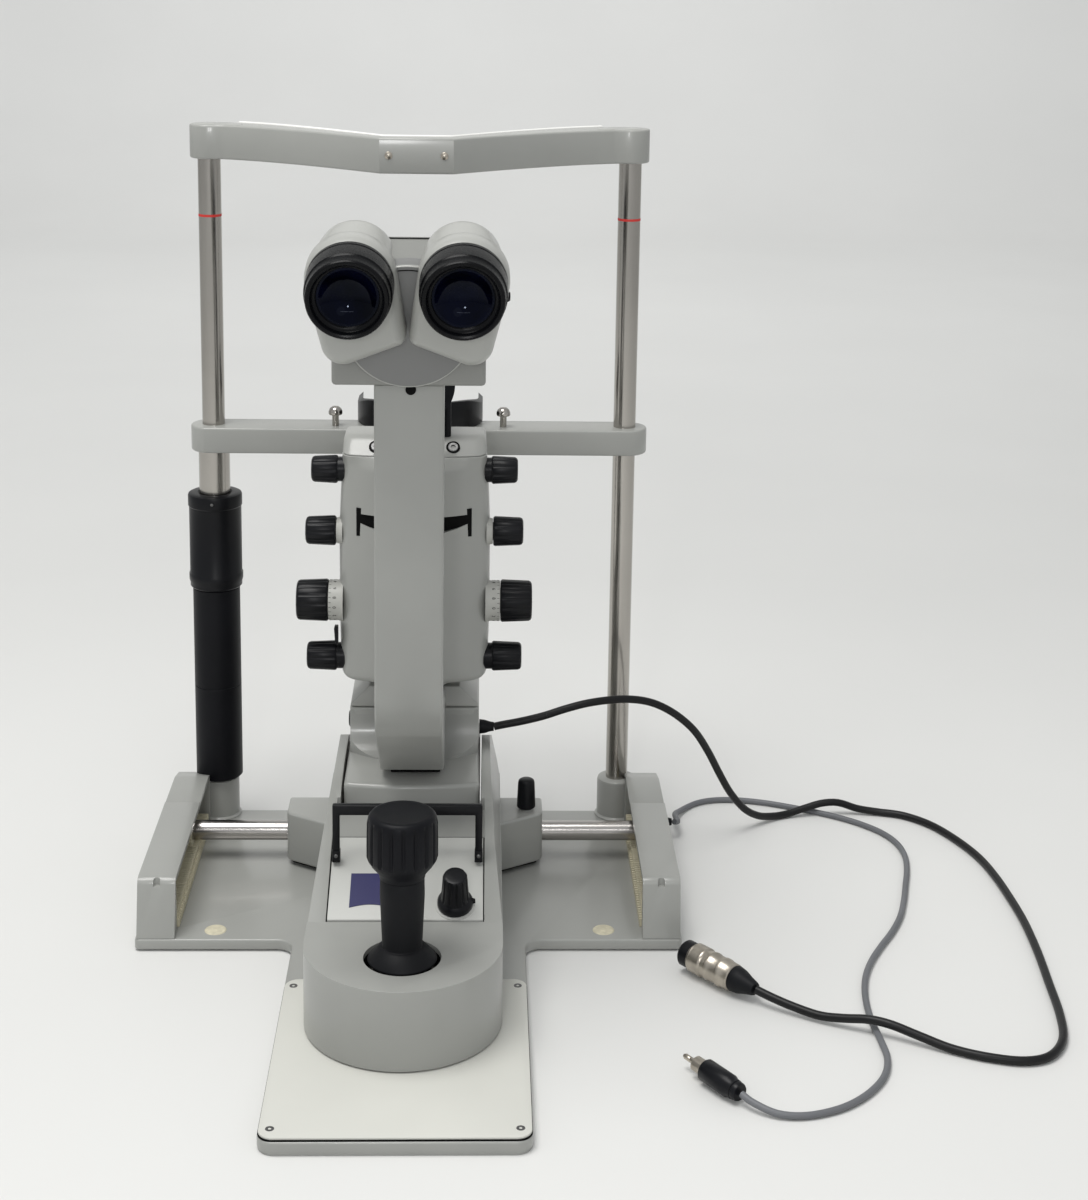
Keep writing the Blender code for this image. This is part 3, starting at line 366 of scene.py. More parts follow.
def put(node, values):
    for socket, value in values.items():
        node.inputs[socket].default_value = value


def new_material(name, slot, colour, roughness, metallic=0):
    """A material that remembers which slot of the record its pieces belong to."""
    made = bpy.data.materials.new(name)
    SLOT_OF[name] = slot
    made.use_nodes = True
    shader = made.node_tree.nodes["Principled BSDF"]
    put(shader, {"Base Color": (*colour, 1), "Roughness": roughness, "Metallic": metallic})
    return made, made.node_tree.nodes, made.node_tree.links, shader


def noise(nodes, links, scale, detail, stretch=(1, 1, 1)):
    coords = nodes.new("ShaderNodeTexCoord")
    spread = nodes.new("ShaderNodeMapping")
    put(spread, {"Scale": stretch})
    links.new(coords.outputs["Object"], spread.inputs["Vector"])
    made = nodes.new("ShaderNodeTexNoise")
    put(made, {"Scale": scale, "Detail": detail})
    links.new(spread.outputs["Vector"], made.inputs["Vector"])
    return made


def ramp(nodes, links, source, low, high):
    made = nodes.new("ShaderNodeValToRGB")
    for stop, position, colour in zip(made.color_ramp.elements, (0.35, 0.65), (low, high)):
        stop.position, stop.color = position, (*colour, 1)
    links.new(source, made.inputs["Fac"])
    return made


def spread_roughness(nodes, links, shader, source, low, high):
    made = nodes.new("ShaderNodeMapRange")
    put(made, {"To Min": low, "To Max": high})
    links.new(source, made.inputs["Value"])
    links.new(made.outputs["Result"], shader.inputs["Roughness"])


def bump(nodes, links, shader, source, strength):
    made = nodes.new("ShaderNodeBump")
    put(made, {"Strength": strength, "Distance": GRAIN_HEIGHT})
    links.new(source, made.inputs["Height"])
    links.new(made.outputs["Normal"], shader.inputs["Normal"])


def surface(name, slot, colour, roughness, metallic=0, shade=0.05, grain=900, depth=0.35,
        stretch=(1, 1, 1), coat=0, patches=14, gloss=0.5):
    """Colour that varies softly in patches, fine grain in the bump, uneven gloss."""
    made, nodes, links, shader = new_material(name, slot, colour, roughness, metallic)
    broad = noise(nodes, links, patches, 3)
    low = tuple(c * (1 - shade) for c in colour)
    high = tuple(min(1, c * (1 + shade)) for c in colour)
    tint = ramp(nodes, links, broad.outputs["Fac"], low, high)
    links.new(tint.outputs["Color"], shader.inputs["Base Color"])
    fine = noise(nodes, links, grain, 3, stretch)
    spread_roughness(nodes, links, shader, fine.outputs["Fac"], roughness - 0.06, roughness + 0.08)
    bump(nodes, links, shader, fine.outputs["Fac"], depth)
    put(shader, {"Specular IOR Level": gloss})
    if coat:
        put(shader, {"Coat Weight": coat, "Coat Roughness": 0.12})
    return made


PAINT = surface("satin_paint", "grey_paint", (0.318, 0.322, 0.304), 0.32, grain=1400, depth=0.22,
    shade=0.03, coat=0.22)
# A lighter copy of the grey paint for lit tops and edges: painted highlight.
PAINT_LIT = surface("satin_paint_painted_highlight", "grey_paint", (0.35, 0.354, 0.334), 0.3, grain=1400,
    depth=0.2, shade=0.03, coat=0.25)
# A darker copy of the grey paint for the microscope head in the eyepieces' shade: painted shade.
PAINT_SHADED = surface("satin_paint_painted_shade", "grey_paint", (0.225, 0.228, 0.215), 0.36, grain=1400,
    depth=0.22, shade=0.03, coat=0.15)
# A still darker copy of the grey paint for the binocular disc under the eye tubes: painted shade.
PAINT_DEEP_SHADE = surface("satin_paint_painted_deep_shade", "grey_paint", (0.165, 0.167, 0.165), 0.36, grain=1400,
    depth=0.22, shade=0.03, coat=0.15)
LAMINATE = surface("white_laminate", "light_panel", (0.6, 0.6, 0.555), 0.42, grain=700, depth=0.15,
    shade=0.025, patches=9)
PANEL = surface("panel_sheet", "light_panel", (0.47, 0.475, 0.45), 0.42, grain=900, depth=0.12,
    shade=0.02)
PLASTIC = surface("black_plastic_moulded", "black_plastic", (0.0045, 0.0048, 0.0062), 0.32,
    grain=1600, depth=0.3, shade=0.25, gloss=0.2)
MATT = surface("black_anodised", "black_plastic", (0.0045, 0.0048, 0.0065), 0.42, grain=2200,
    depth=0.35, shade=0.2, gloss=0.14)
RUBBER = surface("black_rubber", "rubber_black", (0.0058, 0.0062, 0.0075), 0.5, grain=1200,
    depth=0.45, shade=0.25, gloss=0.16)
EYECUP = surface("eyecup_plastic", "rubber_black", (0.003, 0.0032, 0.004), 0.26, grain=1500,
    depth=0.2, shade=0.2, gloss=0.13)
JACKET = surface("black_cord_jacket", "rubber_black", (0.006, 0.006, 0.0065), 0.38, grain=600,
    depth=0.4, shade=0.3, gloss=0.28)
GREY_JACKET = surface("grey_cord_jacket", "cable_grey", (0.135, 0.14, 0.15), 0.48, grain=600,
    depth=0.4, shade=0.12)
CHROME = surface("polished_tube", "steel", (0.43, 0.41, 0.38), 0.2, 1, grain=500, depth=0.12,
    stretch=(1, 1, 0.04), shade=0.06)
STEEL_X = surface("ground_shaft", "steel", (0.47, 0.45, 0.43), 0.2, 1, grain=500, depth=0.12,
    stretch=(0.04, 1, 1), shade=0.06)
NICKEL = surface("nickel_plate", "nickel", (0.46, 0.42, 0.36), 0.3, 1, grain=700, depth=0.2,
    shade=0.14, patches=120)
CREAM = surface("cream_nylon_moulded", "cream_nylon", (0.6, 0.56, 0.42), 0.48, grain=900, depth=0.2)
CREAM_CAP = surface("cream_cap", "cream_nylon", (0.6, 0.56, 0.42), 0.5, grain=700, depth=0.4,
    shade=0.1, patches=300)
WHITE = surface("white_soft_band", "white_strap", (0.8, 0.8, 0.77), 0.55, grain=900, depth=0.3)
RED = surface("red_mark", "white_strap", (0.55, 0.025, 0.02), 0.5, shade=0.1)
BLUE = surface("blue_plate", "light_panel", (0.012, 0.012, 0.085), 0.34, shade=0.05, depth=0.1)
SCREW = surface("screw_head", "steel", (0.16, 0.16, 0.16), 0.38, 0.9, shade=0.2, patches=600)
# Near-black for sheets in gaps, slots, wells and under parts, standing in for the shade there:
# painted shade. It also colours the black arm screw and the scale line on the disc.
SHADE_AND_BLACK = surface("painted_shade_and_black", "black_plastic", (0.004, 0.004, 0.004), 0.8, shade=0.1, gloss=0.1)
INK = surface("printed_ink", "black_plastic", (0.02, 0.02, 0.02), 0.6, shade=0.05, depth=0)
SCALE = surface("scale_ring", "cream_nylon", (0.43, 0.43, 0.4), 0.42, depth=0.15)


def lens_material():
    made, nodes, links, shader = new_material("coated_lens", "glass", (0.001, 0.0012, 0.004), 0.03)
    put(shader, {"Specular IOR Level": 0.1, "Specular Tint": (0.7, 0.8, 1, 1)})
    # The mottled dark blue base colour is a painted reflection: it stands in for the blue coating
    # and the depth of the glass.
    depth = noise(nodes, links, 60, 2)
    tint = ramp(nodes, links, depth.outputs["Fac"], (0.0003, 0.0004, 0.0018),
        (0.001, 0.0014, 0.008))
    links.new(tint.outputs["Color"], shader.inputs["Base Color"])
    return made


def clear_material():
    made, nodes, links, shader = new_material("prism_glass", "glass", (0.75, 0.82, 0.95), 0.03)
    put(shader, {"Transmission Weight": 0.85})
    haze = noise(nodes, links, 200, 2)
    spread_roughness(nodes, links, shader, haze.outputs["Fac"], 0.02, 0.06)
    return made


LENS, CLEAR = lens_material(), clear_material()


def show(made, material, body, *nodes, smooth=35, slot=None):
    """Finishes a piece: material, shading, the body it rides on, the solids it covers."""
    made = baked(made)
    made.data.materials.clear()
    made.data.materials.append(material)
    made.data.shade_smooth()
    made.data.set_sharp_from_angle(angle=math.radians(smooth))
    slot = slot or SLOT_OF[material.name]
    if nodes:
        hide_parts(*nodes)
    if body:
        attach(made, body)
    return made


def carry(node, material):
    """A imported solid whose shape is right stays, with a better material."""
    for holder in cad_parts[node].material_slots:
        holder.link = "OBJECT"
        holder.material = material


def side_name(x, what):
    return ("left_" if x < 0 else "right_") + what


# ---------------------------------------------------------------- base and cross slide

ROOT = "headrest_base"


def base_plate():
    fillet = 10
    right = [(BASE_HALF - 3, BASE_REAR), (BASE_HALF, BASE_REAR - 3),
        *arc((BASE_HALF - 3, BASE_FRONT + 3), 3, 0, -90, 6),
        *arc((STEM_HALF + fillet, BASE_FRONT - fillet), fillet, 90, 180, 12),
        *arc((STEM_HALF - 9, STEM_FRONT + 9), 9, 0, -90, 12)]
    show(bevel(prism("plate_casting", both_halves(right), BASE_UNDER, BASE_TOP), 1.2, 3), PAINT,
        ROOT, "base_plate")
    show(prism("stem_pad", rounded((0.4 - STEM_HALF, STEM_FRONT + 0.4), (STEM_HALF - 0.4, -205), 9),
        DATUM_Z, BASE_UNDER + 1.4), PAINT, ROOT)
    for x in mirrored(130):
        show(lathe(side_name(x, "foot"), [(10.4, DATUM_Z), (11, 5), (11, 5.6)], (x, -30, 0)),
            RUBBER, ROOT)
    for x in mirrored(120):
        show(lathe(side_name(x, "plate_plug"), [(4.6, BASE_TOP + 0.9), (6.3, BASE_TOP + 0.5),
            (6.9, BASE_TOP - 0.2)], (x, -176, 0)), CREAM_CAP, ROOT)


def slide_plate():
    outline = rounded((-70.6, PLATE_FRONT), (70.6, PLATE_BACK), 8)
    show(bevel(prism("slide_laminate", outline, BASE_TOP + 0.5, PLATE_TOP), 0.45, 2), LAMINATE,
        ROOT, "slide_plate")
    # A near-black sheet just under the laminate, showing as a dark line along its edge.
    show(prism("slide_dark_edge", rounded((-70.9, PLATE_FRONT - 0.5), (70.9, PLATE_BACK), 8),
        BASE_TOP - 0.1, BASE_TOP + 0.7), SHADE_AND_BLACK, ROOT)
    for i, (x, y) in enumerate(((-65.5, -249), (65.5, -249), (-64.6, -397), (64.6, -397))):
        show(lathe(f"plate_screw_{i}", [(0.8, PLATE_TOP - 0.1), (0.9, PLATE_TOP + 0.12),
            (2.3, PLATE_TOP + 0.15), (2.5, PLATE_TOP - 0.3)], (x, y, 0), sides=32), SCREW, ROOT)


def rail_cover(side):
    low, high = sorted((side * COVER_IN, side * COVER_OUT))
    z0 = BASE_TOP + GAP
    corner = arc((BASE_FRONT + 13.6, COVER_TOP - 5), 5, 170, 90, 8)
    outline = ([(BASE_FRONT + 0.6, z0)] + corner + [(COVER_SPLIT - GAP, COVER_TOP),
        (COVER_SPLIT - GAP, z0)])
    hood = prism(side_name(side, "cover_shell"), outline, low, high, "X")
    inner = sorted((side * (COVER_IN - 5), side * (COVER_OUT - 3)))
    hollow = box("hollow", (inner[0], BASE_FRONT + 12, z0 - 5),
        (inner[1], COVER_SPLIT + 5, COVER_TOP - 3.2))
    hood = cut(hood, hollow)
    x, y = side * 155, BASE_FRONT + 8.6
    show(bevel(cut(hood, prism("slot", rounded((x - 2.1, y - 9), (x + 2.1, y + 3.4), 2.05), 42.8,
        60)), 0.9, 3), PAINT, ROOT, side_name(side, "rail_cover"))


def column_bracket(side):
    low, high = sorted((side * COVER_IN, side * (COVER_OUT - 0.2)))
    z0 = BASE_TOP + GAP
    outline = [(COVER_SPLIT, z0), (COVER_SPLIT, COVER_TOP - 0.2), (-22, COVER_TOP - 0.2),
        (-3, COVER_TOP - 4.5), (BASE_REAR - 1, COVER_TOP - 9), (BASE_REAR - 1, z0)]
    hood = prism(side_name(side, "bracket_casting"), outline, low, high, "X")
    inner = sorted((side * (COVER_IN - 5), side * (COVER_OUT - 3)))
    hood = cut(hood, box("hollow", (inner[0], COVER_SPLIT - 5, z0 - 5),
        (inner[1], -16, COVER_TOP - 3.2)))
    x = side * COLUMN_X
    if side < 0:
        hood = cut(hood, rod("sleeve_seat", (x, 0, SLEEVE_Z0 - GAP), (x, 0, COVER_TOP + 5),
            SLEEVE_R + GAP, 64))
    show(bevel(hood, 0.9, 2), PAINT, ROOT, side_name(side, "column_bracket"))
    show(lathe(side_name(side, "column_socket"), [(11.6, SOCKET_TOP), (12.9, SOCKET_TOP - 0.8),
        (SOCKET_R, SOCKET_TOP - 2.6), (SOCKET_R, z0 + 1.4), (14.8, z0)], (x, 0, 0)), PAINT, ROOT)


def rack(side):
    x0, x1 = sorted((side * 144.4, side * 163))
    start, end = -174, -18.6
    root, tip, z0 = 18.6, 20.6, BASE_TOP + GAP
    outline = [(start, z0), (start, root)]
    phase = (SHAFT_Y - start) % TOOTH
    i = 0
    while start + phase + (i + 1) * TOOTH < end - 0.4:
        y = start + phase + i * TOOTH
        outline += [(y + 0.45, root), (y + 1.05, tip), (y + TOOTH - 1.05, tip),
            (y + TOOTH - 0.45, root)]
        i += 1
    outline += [(end, root), (end, z0)]
    show(prism(side_name(side, "rack_strip"), outline, x0, x1, "X"), CREAM, ROOT,
        side_name(side, "rack"), smooth=20)
    # the ribbed guide strip that shows on the inner side of the rack
    low, high = sorted((side * 142.6, side * 145.2))
    ribs = [box(f"rib_{k}", (low, start + 2 + k * 3.3, z0), (high, start + 3.5 + k * 3.3, 17.6))
        for k in range(45)]
    show(joined(ribs, side_name(side, "rack_ribs")), CREAM, ROOT, smooth=20)


def cross_shaft():
    length = 2 * SHAFT_HALF
    show(lathe("ground_axle", [(SHAFT_R - 0.6, 0), (SHAFT_R, 0.6), (SHAFT_R, length - 0.6),
        (SHAFT_R - 0.6, length)], (-SHAFT_HALF, SHAFT_Y, SHAFT_Z), (1, 0, 0)), STEEL_X,
        "cross_carriage", "cross_shaft")


# ---------------------------------------------------------------- headrest

def columns():
    for x in mirrored(COLUMN_X):
        show(lathe(side_name(x, "column_tube"),
            [(COLUMN_R, BASE_TOP + 3.7), (COLUMN_R, COLUMN_TOP)], (x, 0, 0)), CHROME, ROOT,
            side_name(x, "column"))
        show(lathe(side_name(x, "eye_level_mark"), [(COLUMN_R - 0.5, 432.6),
            (COLUMN_R + 0.12, 432.6), (COLUMN_R + 0.12, 434.2), (COLUMN_R - 0.5, 434.2),
            (COLUMN_R - 0.5, 432.6)], (x, 0, 0)), RED, ROOT)


def bow(y_end, y_middle, flat, reach):
    """The right half of the forehead bar's bow, from the flat middle out to a column."""
    points, steps = [], 28
    for i in range(steps + 1):
        t = i / steps
        ease = math.sin(math.pi * t / 2) * 0.45 + t * 0.55
        points.append((flat + (reach - flat) * t, y_middle + (y_end - y_middle) * ease))
    return points


def forehead_bar():
    near = bow(-11.5, BAR_BOW, 23, COLUMN_X - 9)
    far = bow(11.5, BAR_BOW + 14, 21, COLUMN_X - 10)
    end = arc((COLUMN_X, 0), BAR_END_R, -100, 100, 28)
    right = near + end + far[::-1]
    show(bevel(prism("forehead_casting", both_halves(right), BAR_BOTTOM, BAR_TOP), 1.3, 3, 50),
        PAINT, ROOT, "forehead_bar")
    for x in mirrored(17.3):
        show(lathe(side_name(x, "band_rivet"), [(0, 1), (1.5, 0.9), (2.4, 0.3), (2.5, -0.6)],
            (x, BAR_BOW - 0.1, 482.6), (0, -1, 0), 32), NICKEL, ROOT, slot="steel")
    for side in (-1, 1):
        for k, (x, y) in enumerate(((COLUMN_X + 1, -2), (COLUMN_X - 17, -6))):
            # The plugs are in the lighter, lit copy of the paint: painted highlight.
            show(lathe(side_name(side, f"bar_plug_{k}"), [(5.2, BAR_TOP + 0.5),
                (6.2, BAR_TOP + 0.1), (6.4, BAR_TOP - 0.5)], (side * x, y, 0)), PAINT_LIT, ROOT)


def forehead_band():
    near = bow(12.6, BAR_BOW + 14.6, 21, COLUMN_X - 18)
    far = [(x, y + 3.4) for x, y in near]
    right = near + far[::-1]
    show(bevel(prism("forehead_pad", both_halves(right), BAR_BOTTOM + 1.2, BAR_TOP + 0.5), 1, 3,
        50), WHITE, ROOT, "forehead_band")


def chin_rest():
    body, r = "chin_rest", 15
    outline = (arc((COLUMN_X, 0), r, -74, 74, 28) + [(128, CHIN_DEPTH), (-128, CHIN_DEPTH)]
        + arc((-COLUMN_X, 0), r, 106, 254, 28) + [(-128, -CHIN_DEPTH), (128, -CHIN_DEPTH)])
    show(bevel(prism("chin_bar_casting", outline, CHIN_BOTTOM, CHIN_TOP), 1.3, 3, 50), PAINT, body,
        "chin_rest_bar")
    for x in mirrored(56.4):
        show(lathe(side_name(x, "paper_pin"), [(0, 305.6), (2.2, 305.2), (3.8, 303.9), (4.6, 302),
            (4.7, 300.6), (4.3, 299.8), (2.5, 299.3), (2.2, 298.6), (2.2, 291.8)], (x, -4, 0),
            sides=48), CHROME, body)

    half, wall, z0 = 42.5, 3, CHIN_TOP + GAP
    outer = arc((0, 16), half, 180, 360, 48)
    cup = prism("chin_cup_moulding", [(half, 30), (-half, 30)] + outer, z0, z0 + 20)
    cup = cut(cup, prism("hollow", [(half - wall, 60), (wall - half, 60)] + arc((0, 16),
        half - wall, 180, 360, 48), z0 + wall, z0 + 60))
    trough = [(x, z0 + 20 - 7.2 * abs(x / half) ** 7) for x in range(-44, 45, 2)]
    cup = cut(cup, prism("dip", trough + [(44, z0 + 40), (-44, z0 + 40)], -60, 45, "Y"))
    show(bevel(cup, 0.8, 2), PLASTIC, body, "chin_cup")
    show(lathe("chin_lift_tube", [(LIFT_TUBE_R, 150), (LIFT_TUBE_R, CHIN_BOTTOM - GAP)],
        (-COLUMN_X, 0, 0)), CHROME, body, "lift_tube")


def lift_column():
    x = -COLUMN_X
    show(lathe("height_collar", [(LIFT_TUBE_R + GAP, HANDLE_Z1 - 1), (LIFT_TUBE_R + 1.4, HANDLE_Z1),
        (16.4, HANDLE_Z1), (17.8, HANDLE_Z1 - 0.7), (HANDLE_R, HANDLE_Z1 - 1.8),
        (HANDLE_R, HANDLE_Z1 - 8.6), (17.6, HANDLE_Z1 - 9.4), (17.6, HANDLE_Z0 + 10.4),
        (HANDLE_R, HANDLE_Z0 + 9.4), (HANDLE_R, HANDLE_Z0 + 5.4), (17.5, HANDLE_Z0 + 3.4),
        (17.5, HANDLE_Z0 + 1), (16.6, HANDLE_Z0), (LIFT_TUBE_R + GAP, HANDLE_Z0),
        (LIFT_TUBE_R + GAP, HANDLE_Z1 - 1)], (x, 0, 0), sides=120), PLASTIC, "height_handle",
        "height_handle")
    show(lathe("height_collar_dot", [(0, 0.5), (0.9, 0.4), (1.1, -0.4)],
        (x, -HANDLE_R, HANDLE_Z1 - 4.6), (0, -1, 0), 24), SCREW, "height_handle")
    seam = 108
    show(lathe("column_sleeve", [(LIFT_TUBE_R + GAP, SLEEVE_Z0), (SLEEVE_R - 1, SLEEVE_Z0),
        (SLEEVE_R, SLEEVE_Z0 + 1), (SLEEVE_R, seam - 0.4), (SLEEVE_R - 0.3, seam),
        (SLEEVE_R, seam + 0.4), (SLEEVE_R, HANDLE_Z0 - 1), (SLEEVE_R - 0.7, HANDLE_Z0 - GAP),
        (LIFT_TUBE_R + GAP, HANDLE_Z0 - GAP), (LIFT_TUBE_R + GAP, SLEEVE_Z0)], (x, 0, 0)), MATT,
        ROOT, "handle_sleeve")


# ---------------------------------------------------------------- instrument base

IB = "instrument_base"


def drum_outline(inset=0, rear=HOUSING_REAR):
    r = DRUM_R - inset
    return arc((0, DRUM_Y), r, 180, 360, 64) + [(r, rear), (-r, rear)]


def base_housing():
    body = prism("housing_shell", drum_outline(), HOUSING_Z0, DECK_Z)
    profile = [(PANEL_LOW[0] - 1, DECK_Z - 8), (PANEL_LOW[0] - 1, DECK_Z),
        (PANEL_HIGH[0] - 2, PANEL_HIGH[1] + 3.4), (-165, PANEL_HIGH[1] + 5.5),
        (-150, CHEEK_TOP - 4), (-120, CHEEK_TOP), (-78, CHEEK_TOP), (-62, CHEEK_TOP - 6),
        (HOUSING_REAR - 0.5, CHEEK_TOP - 30), (HOUSING_REAR - 0.5, DECK_Z - 8)]
    half = DRUM_R - 0.3
    hump = prism("hump", profile, -half, half, "X")
    for side in (-1, 1):
        slope = [(side * half, DECK_Z + 0.4), (side * CHEEK_TOP_HALF, CHEEK_TOP + 0.5),
            (side * CHEEK_TOP_HALF, CHEEK_TOP + 20), (side * 90, CHEEK_TOP + 20),
            (side * 90, DECK_Z + 0.4)]
        hump = cut(hump, prism("slope", slope, -300, 0, "Y"))
    body = add(body, hump)
    y0, z0 = PANEL_LOW
    y1, z1 = PANEL_HIGH
    seat = [(y0, z0 - 1.2), (y1 + 1, z1 - 0.8), (y1 + 1, z1), (SLOT_FRONT + 1, z1 - 1),
        (SLOT_FRONT + 1, 130), (y0 - 30, 130), (y0 - 30, z0 + 0.001), (y0, z0 + 0.001)]
    body = cut(body, prism("seat", seat, -45.4, 45.4, "X"))
    body = cut(body, box("channel", (-SLOT_HALF, SLOT_FRONT, SLOT_FLOOR),
        (SLOT_HALF, HOUSING_REAR + 10, 140)))
    body = cut(body, rod("stick_hole", (0, STICK_Y, 24), (0, STICK_Y, 80), STICK_HOLE_R, 96))
    show(bevel(body, 2.6, 4, 28), PAINT, IB, "base_housing", smooth=30)
    for side in (-1, 1):
        plan = [(side * 50, WING_REAR), (side * 50, WING_ROOT - 3.7),
            (side * (WING_HALF - 3), WING_TIP - 0.8), (side * WING_HALF, WING_TIP + 2.5),
            (side * WING_HALF, WING_REAR)]
        wing = prism(side_name(side, "wing"), plan, HOUSING_Z0, WING_TOP)
        wing = cut(wing, rod("bore", (side * 40, SHAFT_Y, SHAFT_Z), (side * 100, SHAFT_Y, SHAFT_Z),
            SHAFT_R + 0.8, 64))
        show(bevel(wing, 1.8, 4), PAINT, IB)
        # A near-black sheet under each wing: painted shadow under its edge.
        skirt = [(side * 48, WING_REAR + 1), (side * 48, WING_ROOT - 2),
            (side * (WING_HALF - 4), WING_TIP + 0.6), (side * (WING_HALF - 1.6), WING_REAR)]
        show(prism(side_name(side, "wing_underside_shade"), skirt, HOUSING_Z0 - 1, HOUSING_Z0 + 0.6), SHADE_AND_BLACK, IB)


def chassis():
    # The glide pad under the housing is near-black as painted shade along the housing's lower edge.
    show(prism("glide_pad_painted_shade", drum_outline(1.6, -64), HOUSING_Z0 - 0.6, HOUSING_Z0 + 2), SHADE_AND_BLACK, IB,
        "chassis_plate")
    # The well inside the stick's hole is near-black: painted shade in the hole.
    show(lathe("stick_well", [(STICK_HOLE_R - 0.2, DECK_Z - 3), (STICK_HOLE_R + 2, DECK_Z - 3),
        (STICK_HOLE_R + 2, 19), (0, 19), (0, 22), (STICK_HOLE_R - 0.2, 22),
        (STICK_HOLE_R - 0.2, DECK_Z - 3)], (0, STICK_Y, 0), sides=96), SHADE_AND_BLACK, IB)


def panel_point(y, lift=1.1):
    """The height of the sloping panel at y, and its slope as an angle."""
    slope = (PANEL_HIGH[1] - PANEL_LOW[1]) / (PANEL_HIGH[0] - PANEL_LOW[0])
    return PANEL_LOW[1] + lift + slope * (y - PANEL_LOW[0]), math.atan(slope)


def control_panel():
    y0, z0 = PANEL_LOW
    y1, z1 = PANEL_HIGH
    outline = [(y0 + 0.4, z0 - 0.5), (y1, z1 - 0.5), (y1, z1 + 1.1), (y0 + 0.4, z0 + 1.1)]
    show(bevel(prism("panel_plate", outline, -44.7, 44.7, "X"), 0.3, 2), PANEL, IB, "control_panel")
    # Near-black strips in the gaps beside and behind the panel: painted shade.
    for x in mirrored(45.1):
        show(prism(side_name(x, "panel_gap_shade"), [(y0 + 0.4, z0 - 0.5), (y1, z1 - 0.5), (y1, z1 + 0.9),
            (y0 + 0.4, z0 + 0.9)], x - 0.3, x + 0.3, "X"), SHADE_AND_BLACK, IB)
    show(box("panel_back_gap_shade", (-44.7, y1 + 0.1, z1 - 1), (44.7, y1 + 1.1, z1 + 0.8)), SHADE_AND_BLACK, IB)
    # a plain blue plate with a curved lower edge
    sag = [(-32.6 + 24.6 * i / 16, -255.2 + 2.2 * math.sin(math.pi * i / 16)) for i in range(17)]
    flag = sag + [(-8, -231.4), (-32.6, -231.4)]
    low, high = [], []
    for x, y in flag:
        z = panel_point(y, 1.05)[0]
        low.append((x, y, z))
        high.append((x, y - 0.08, z + 0.25))
    show(loft("blue_badge", [low, high]), BLUE, IB)


def brightness_knob():
    y = -253
    z, tilt = panel_point(y)
    normal = (0, -math.sin(tilt), math.cos(tilt))
    base = (28.5, y, z)
    show(bevel(lathe("lamp_control", [(4.8, 24.4), (6.4, 24), (7.1, 22.8), (7.5, 16), (8.1, 8),
        (8.4, 5.8), (9.4, 5), (10.2, 3.4), (10.3, 0.6)], base, normal, flutes=12, groove=0.9,
        span=(5.9, 23.2)), 0.2, 2, 40), PLASTIC, "brightness_knob", "brightness_knob")
    u = Vector((1, 0, 0))
    d = Vector(normal)
    v = d.cross(u)
    tip = [u * 8.2 + v * -1.3, u * 11.8, u * 8.2 + v * 1.3]
    low = [Vector(base) + p + d * 1.2 for p in tip]
    high = [Vector(base) + p * 0.98 + d * 5 for p in tip]
    show(loft("lamp_pointer", [low, high]), PLASTIC, "brightness_knob")
    show(lathe("lamp_scale", [(10, 0.35), (11.6, 0.35), (11.6, -0.1), (10, -0.1), (10, 0.35)], base,
        normal), PANEL, IB)


def bail_handle():
    foot_y, foot_z, top, half = -224, 80.6, 116.5, 41.9
    show(bevel(prism("bail_hoop", [(-half - 2.1, foot_z), (-half + 2.1, foot_z),
        (-half + 2.1, top - 6.2), (half - 2.1, top - 6.2), (half - 2.1, foot_z),
        (half + 2.1, foot_z), (half + 2.1, top), (-half - 2.1, top)], foot_y - 2.1, foot_y + 2.1,
        "Y"), 0.7, 3), PLASTIC, IB, "bail_handle")
    for x in mirrored(half):
        show(bevel(box(side_name(x, "bail_foot"), (x - 2.4, foot_y - 2.9, foot_z + 0.4),
            (x + 2.4, foot_y + 2.9, foot_z + 7.5)), 0.6, 2), PLASTIC, IB)
        show(lathe(side_name(x, "bail_pin"), [(0.8, 0.7), (1.1, 0.3), (1.1, -0.6)],
            (x, foot_y - 2.9, foot_z + 4.6), (0, -1, 0), 24), SCREW, IB)


def lock_knob():
    show(bevel(lathe("lock_grip", [(3.6, 70.4), (5, 69.6), (5.5, 68), (6.2, 51.4), (5.4, 50.4)],
        LOCK_AT, flutes=9, groove=0.5, span=(52, 67.5)), 0.25, 2, 40), PLASTIC, "lock_knob",
        "lock_knob")
    show(lathe("lock_stem", [(1.7, 51), (1.7, 38.4)], LOCK_AT, sides=32), CHROME, "lock_knob")
    # The collar is in the lighter, lit copy of the paint: painted highlight.
    show(lathe("lock_collar", [(1.9, WING_TOP + 0.5), (4.2, WING_TOP + 0.5), (4.6, WING_TOP - 0.2),
        (1.9, WING_TOP - 0.2), (1.9, WING_TOP + 0.5)], LOCK_AT, sides=48), PAINT_LIT, IB)


def joystick():
    carry("gimbal_ring", CHROME)
    show(bevel(lathe("stick_lever", [(12.2, 110), (12.4, 100), (11.9, 88), (11.3, 74), (11, 69.8),
        (11.2, 69.4), (12, 69.2), (12.9, 68.8), (19.1, 62.2), (19.4, 61.4), (18.9, 60.6),
        (13.5, 60.6), (9.5, 56), (9.5, 42), (4.5, 38), (4.5, 28), (3.2, 25.4)], (0, STICK_Y, 0),
        sides=96), 0.5, 2, 30), RUBBER, "joystick", "joystick_lever")
    show(bevel(lathe("stick_cap", [(0, 147), (14.5, 147.2), (15.8, 147.5), (17.4, 147),
        (18.7, 145.4), (19.4, 142), (19.6, 132), (19.6, 122.6), (19, 120.9), (16.9, 117.6),
        (13.6, 113.6), (12.6, 111.6), (12.6, 110.3)], (0, STICK_Y, 0), flutes=18, groove=1.25,
        span=(121.5, 145)), 0.25, 2, 40), MATT, "joystick_cap", "joystick_cap")


# ---------------------------------------------------------------- lift and swing axis

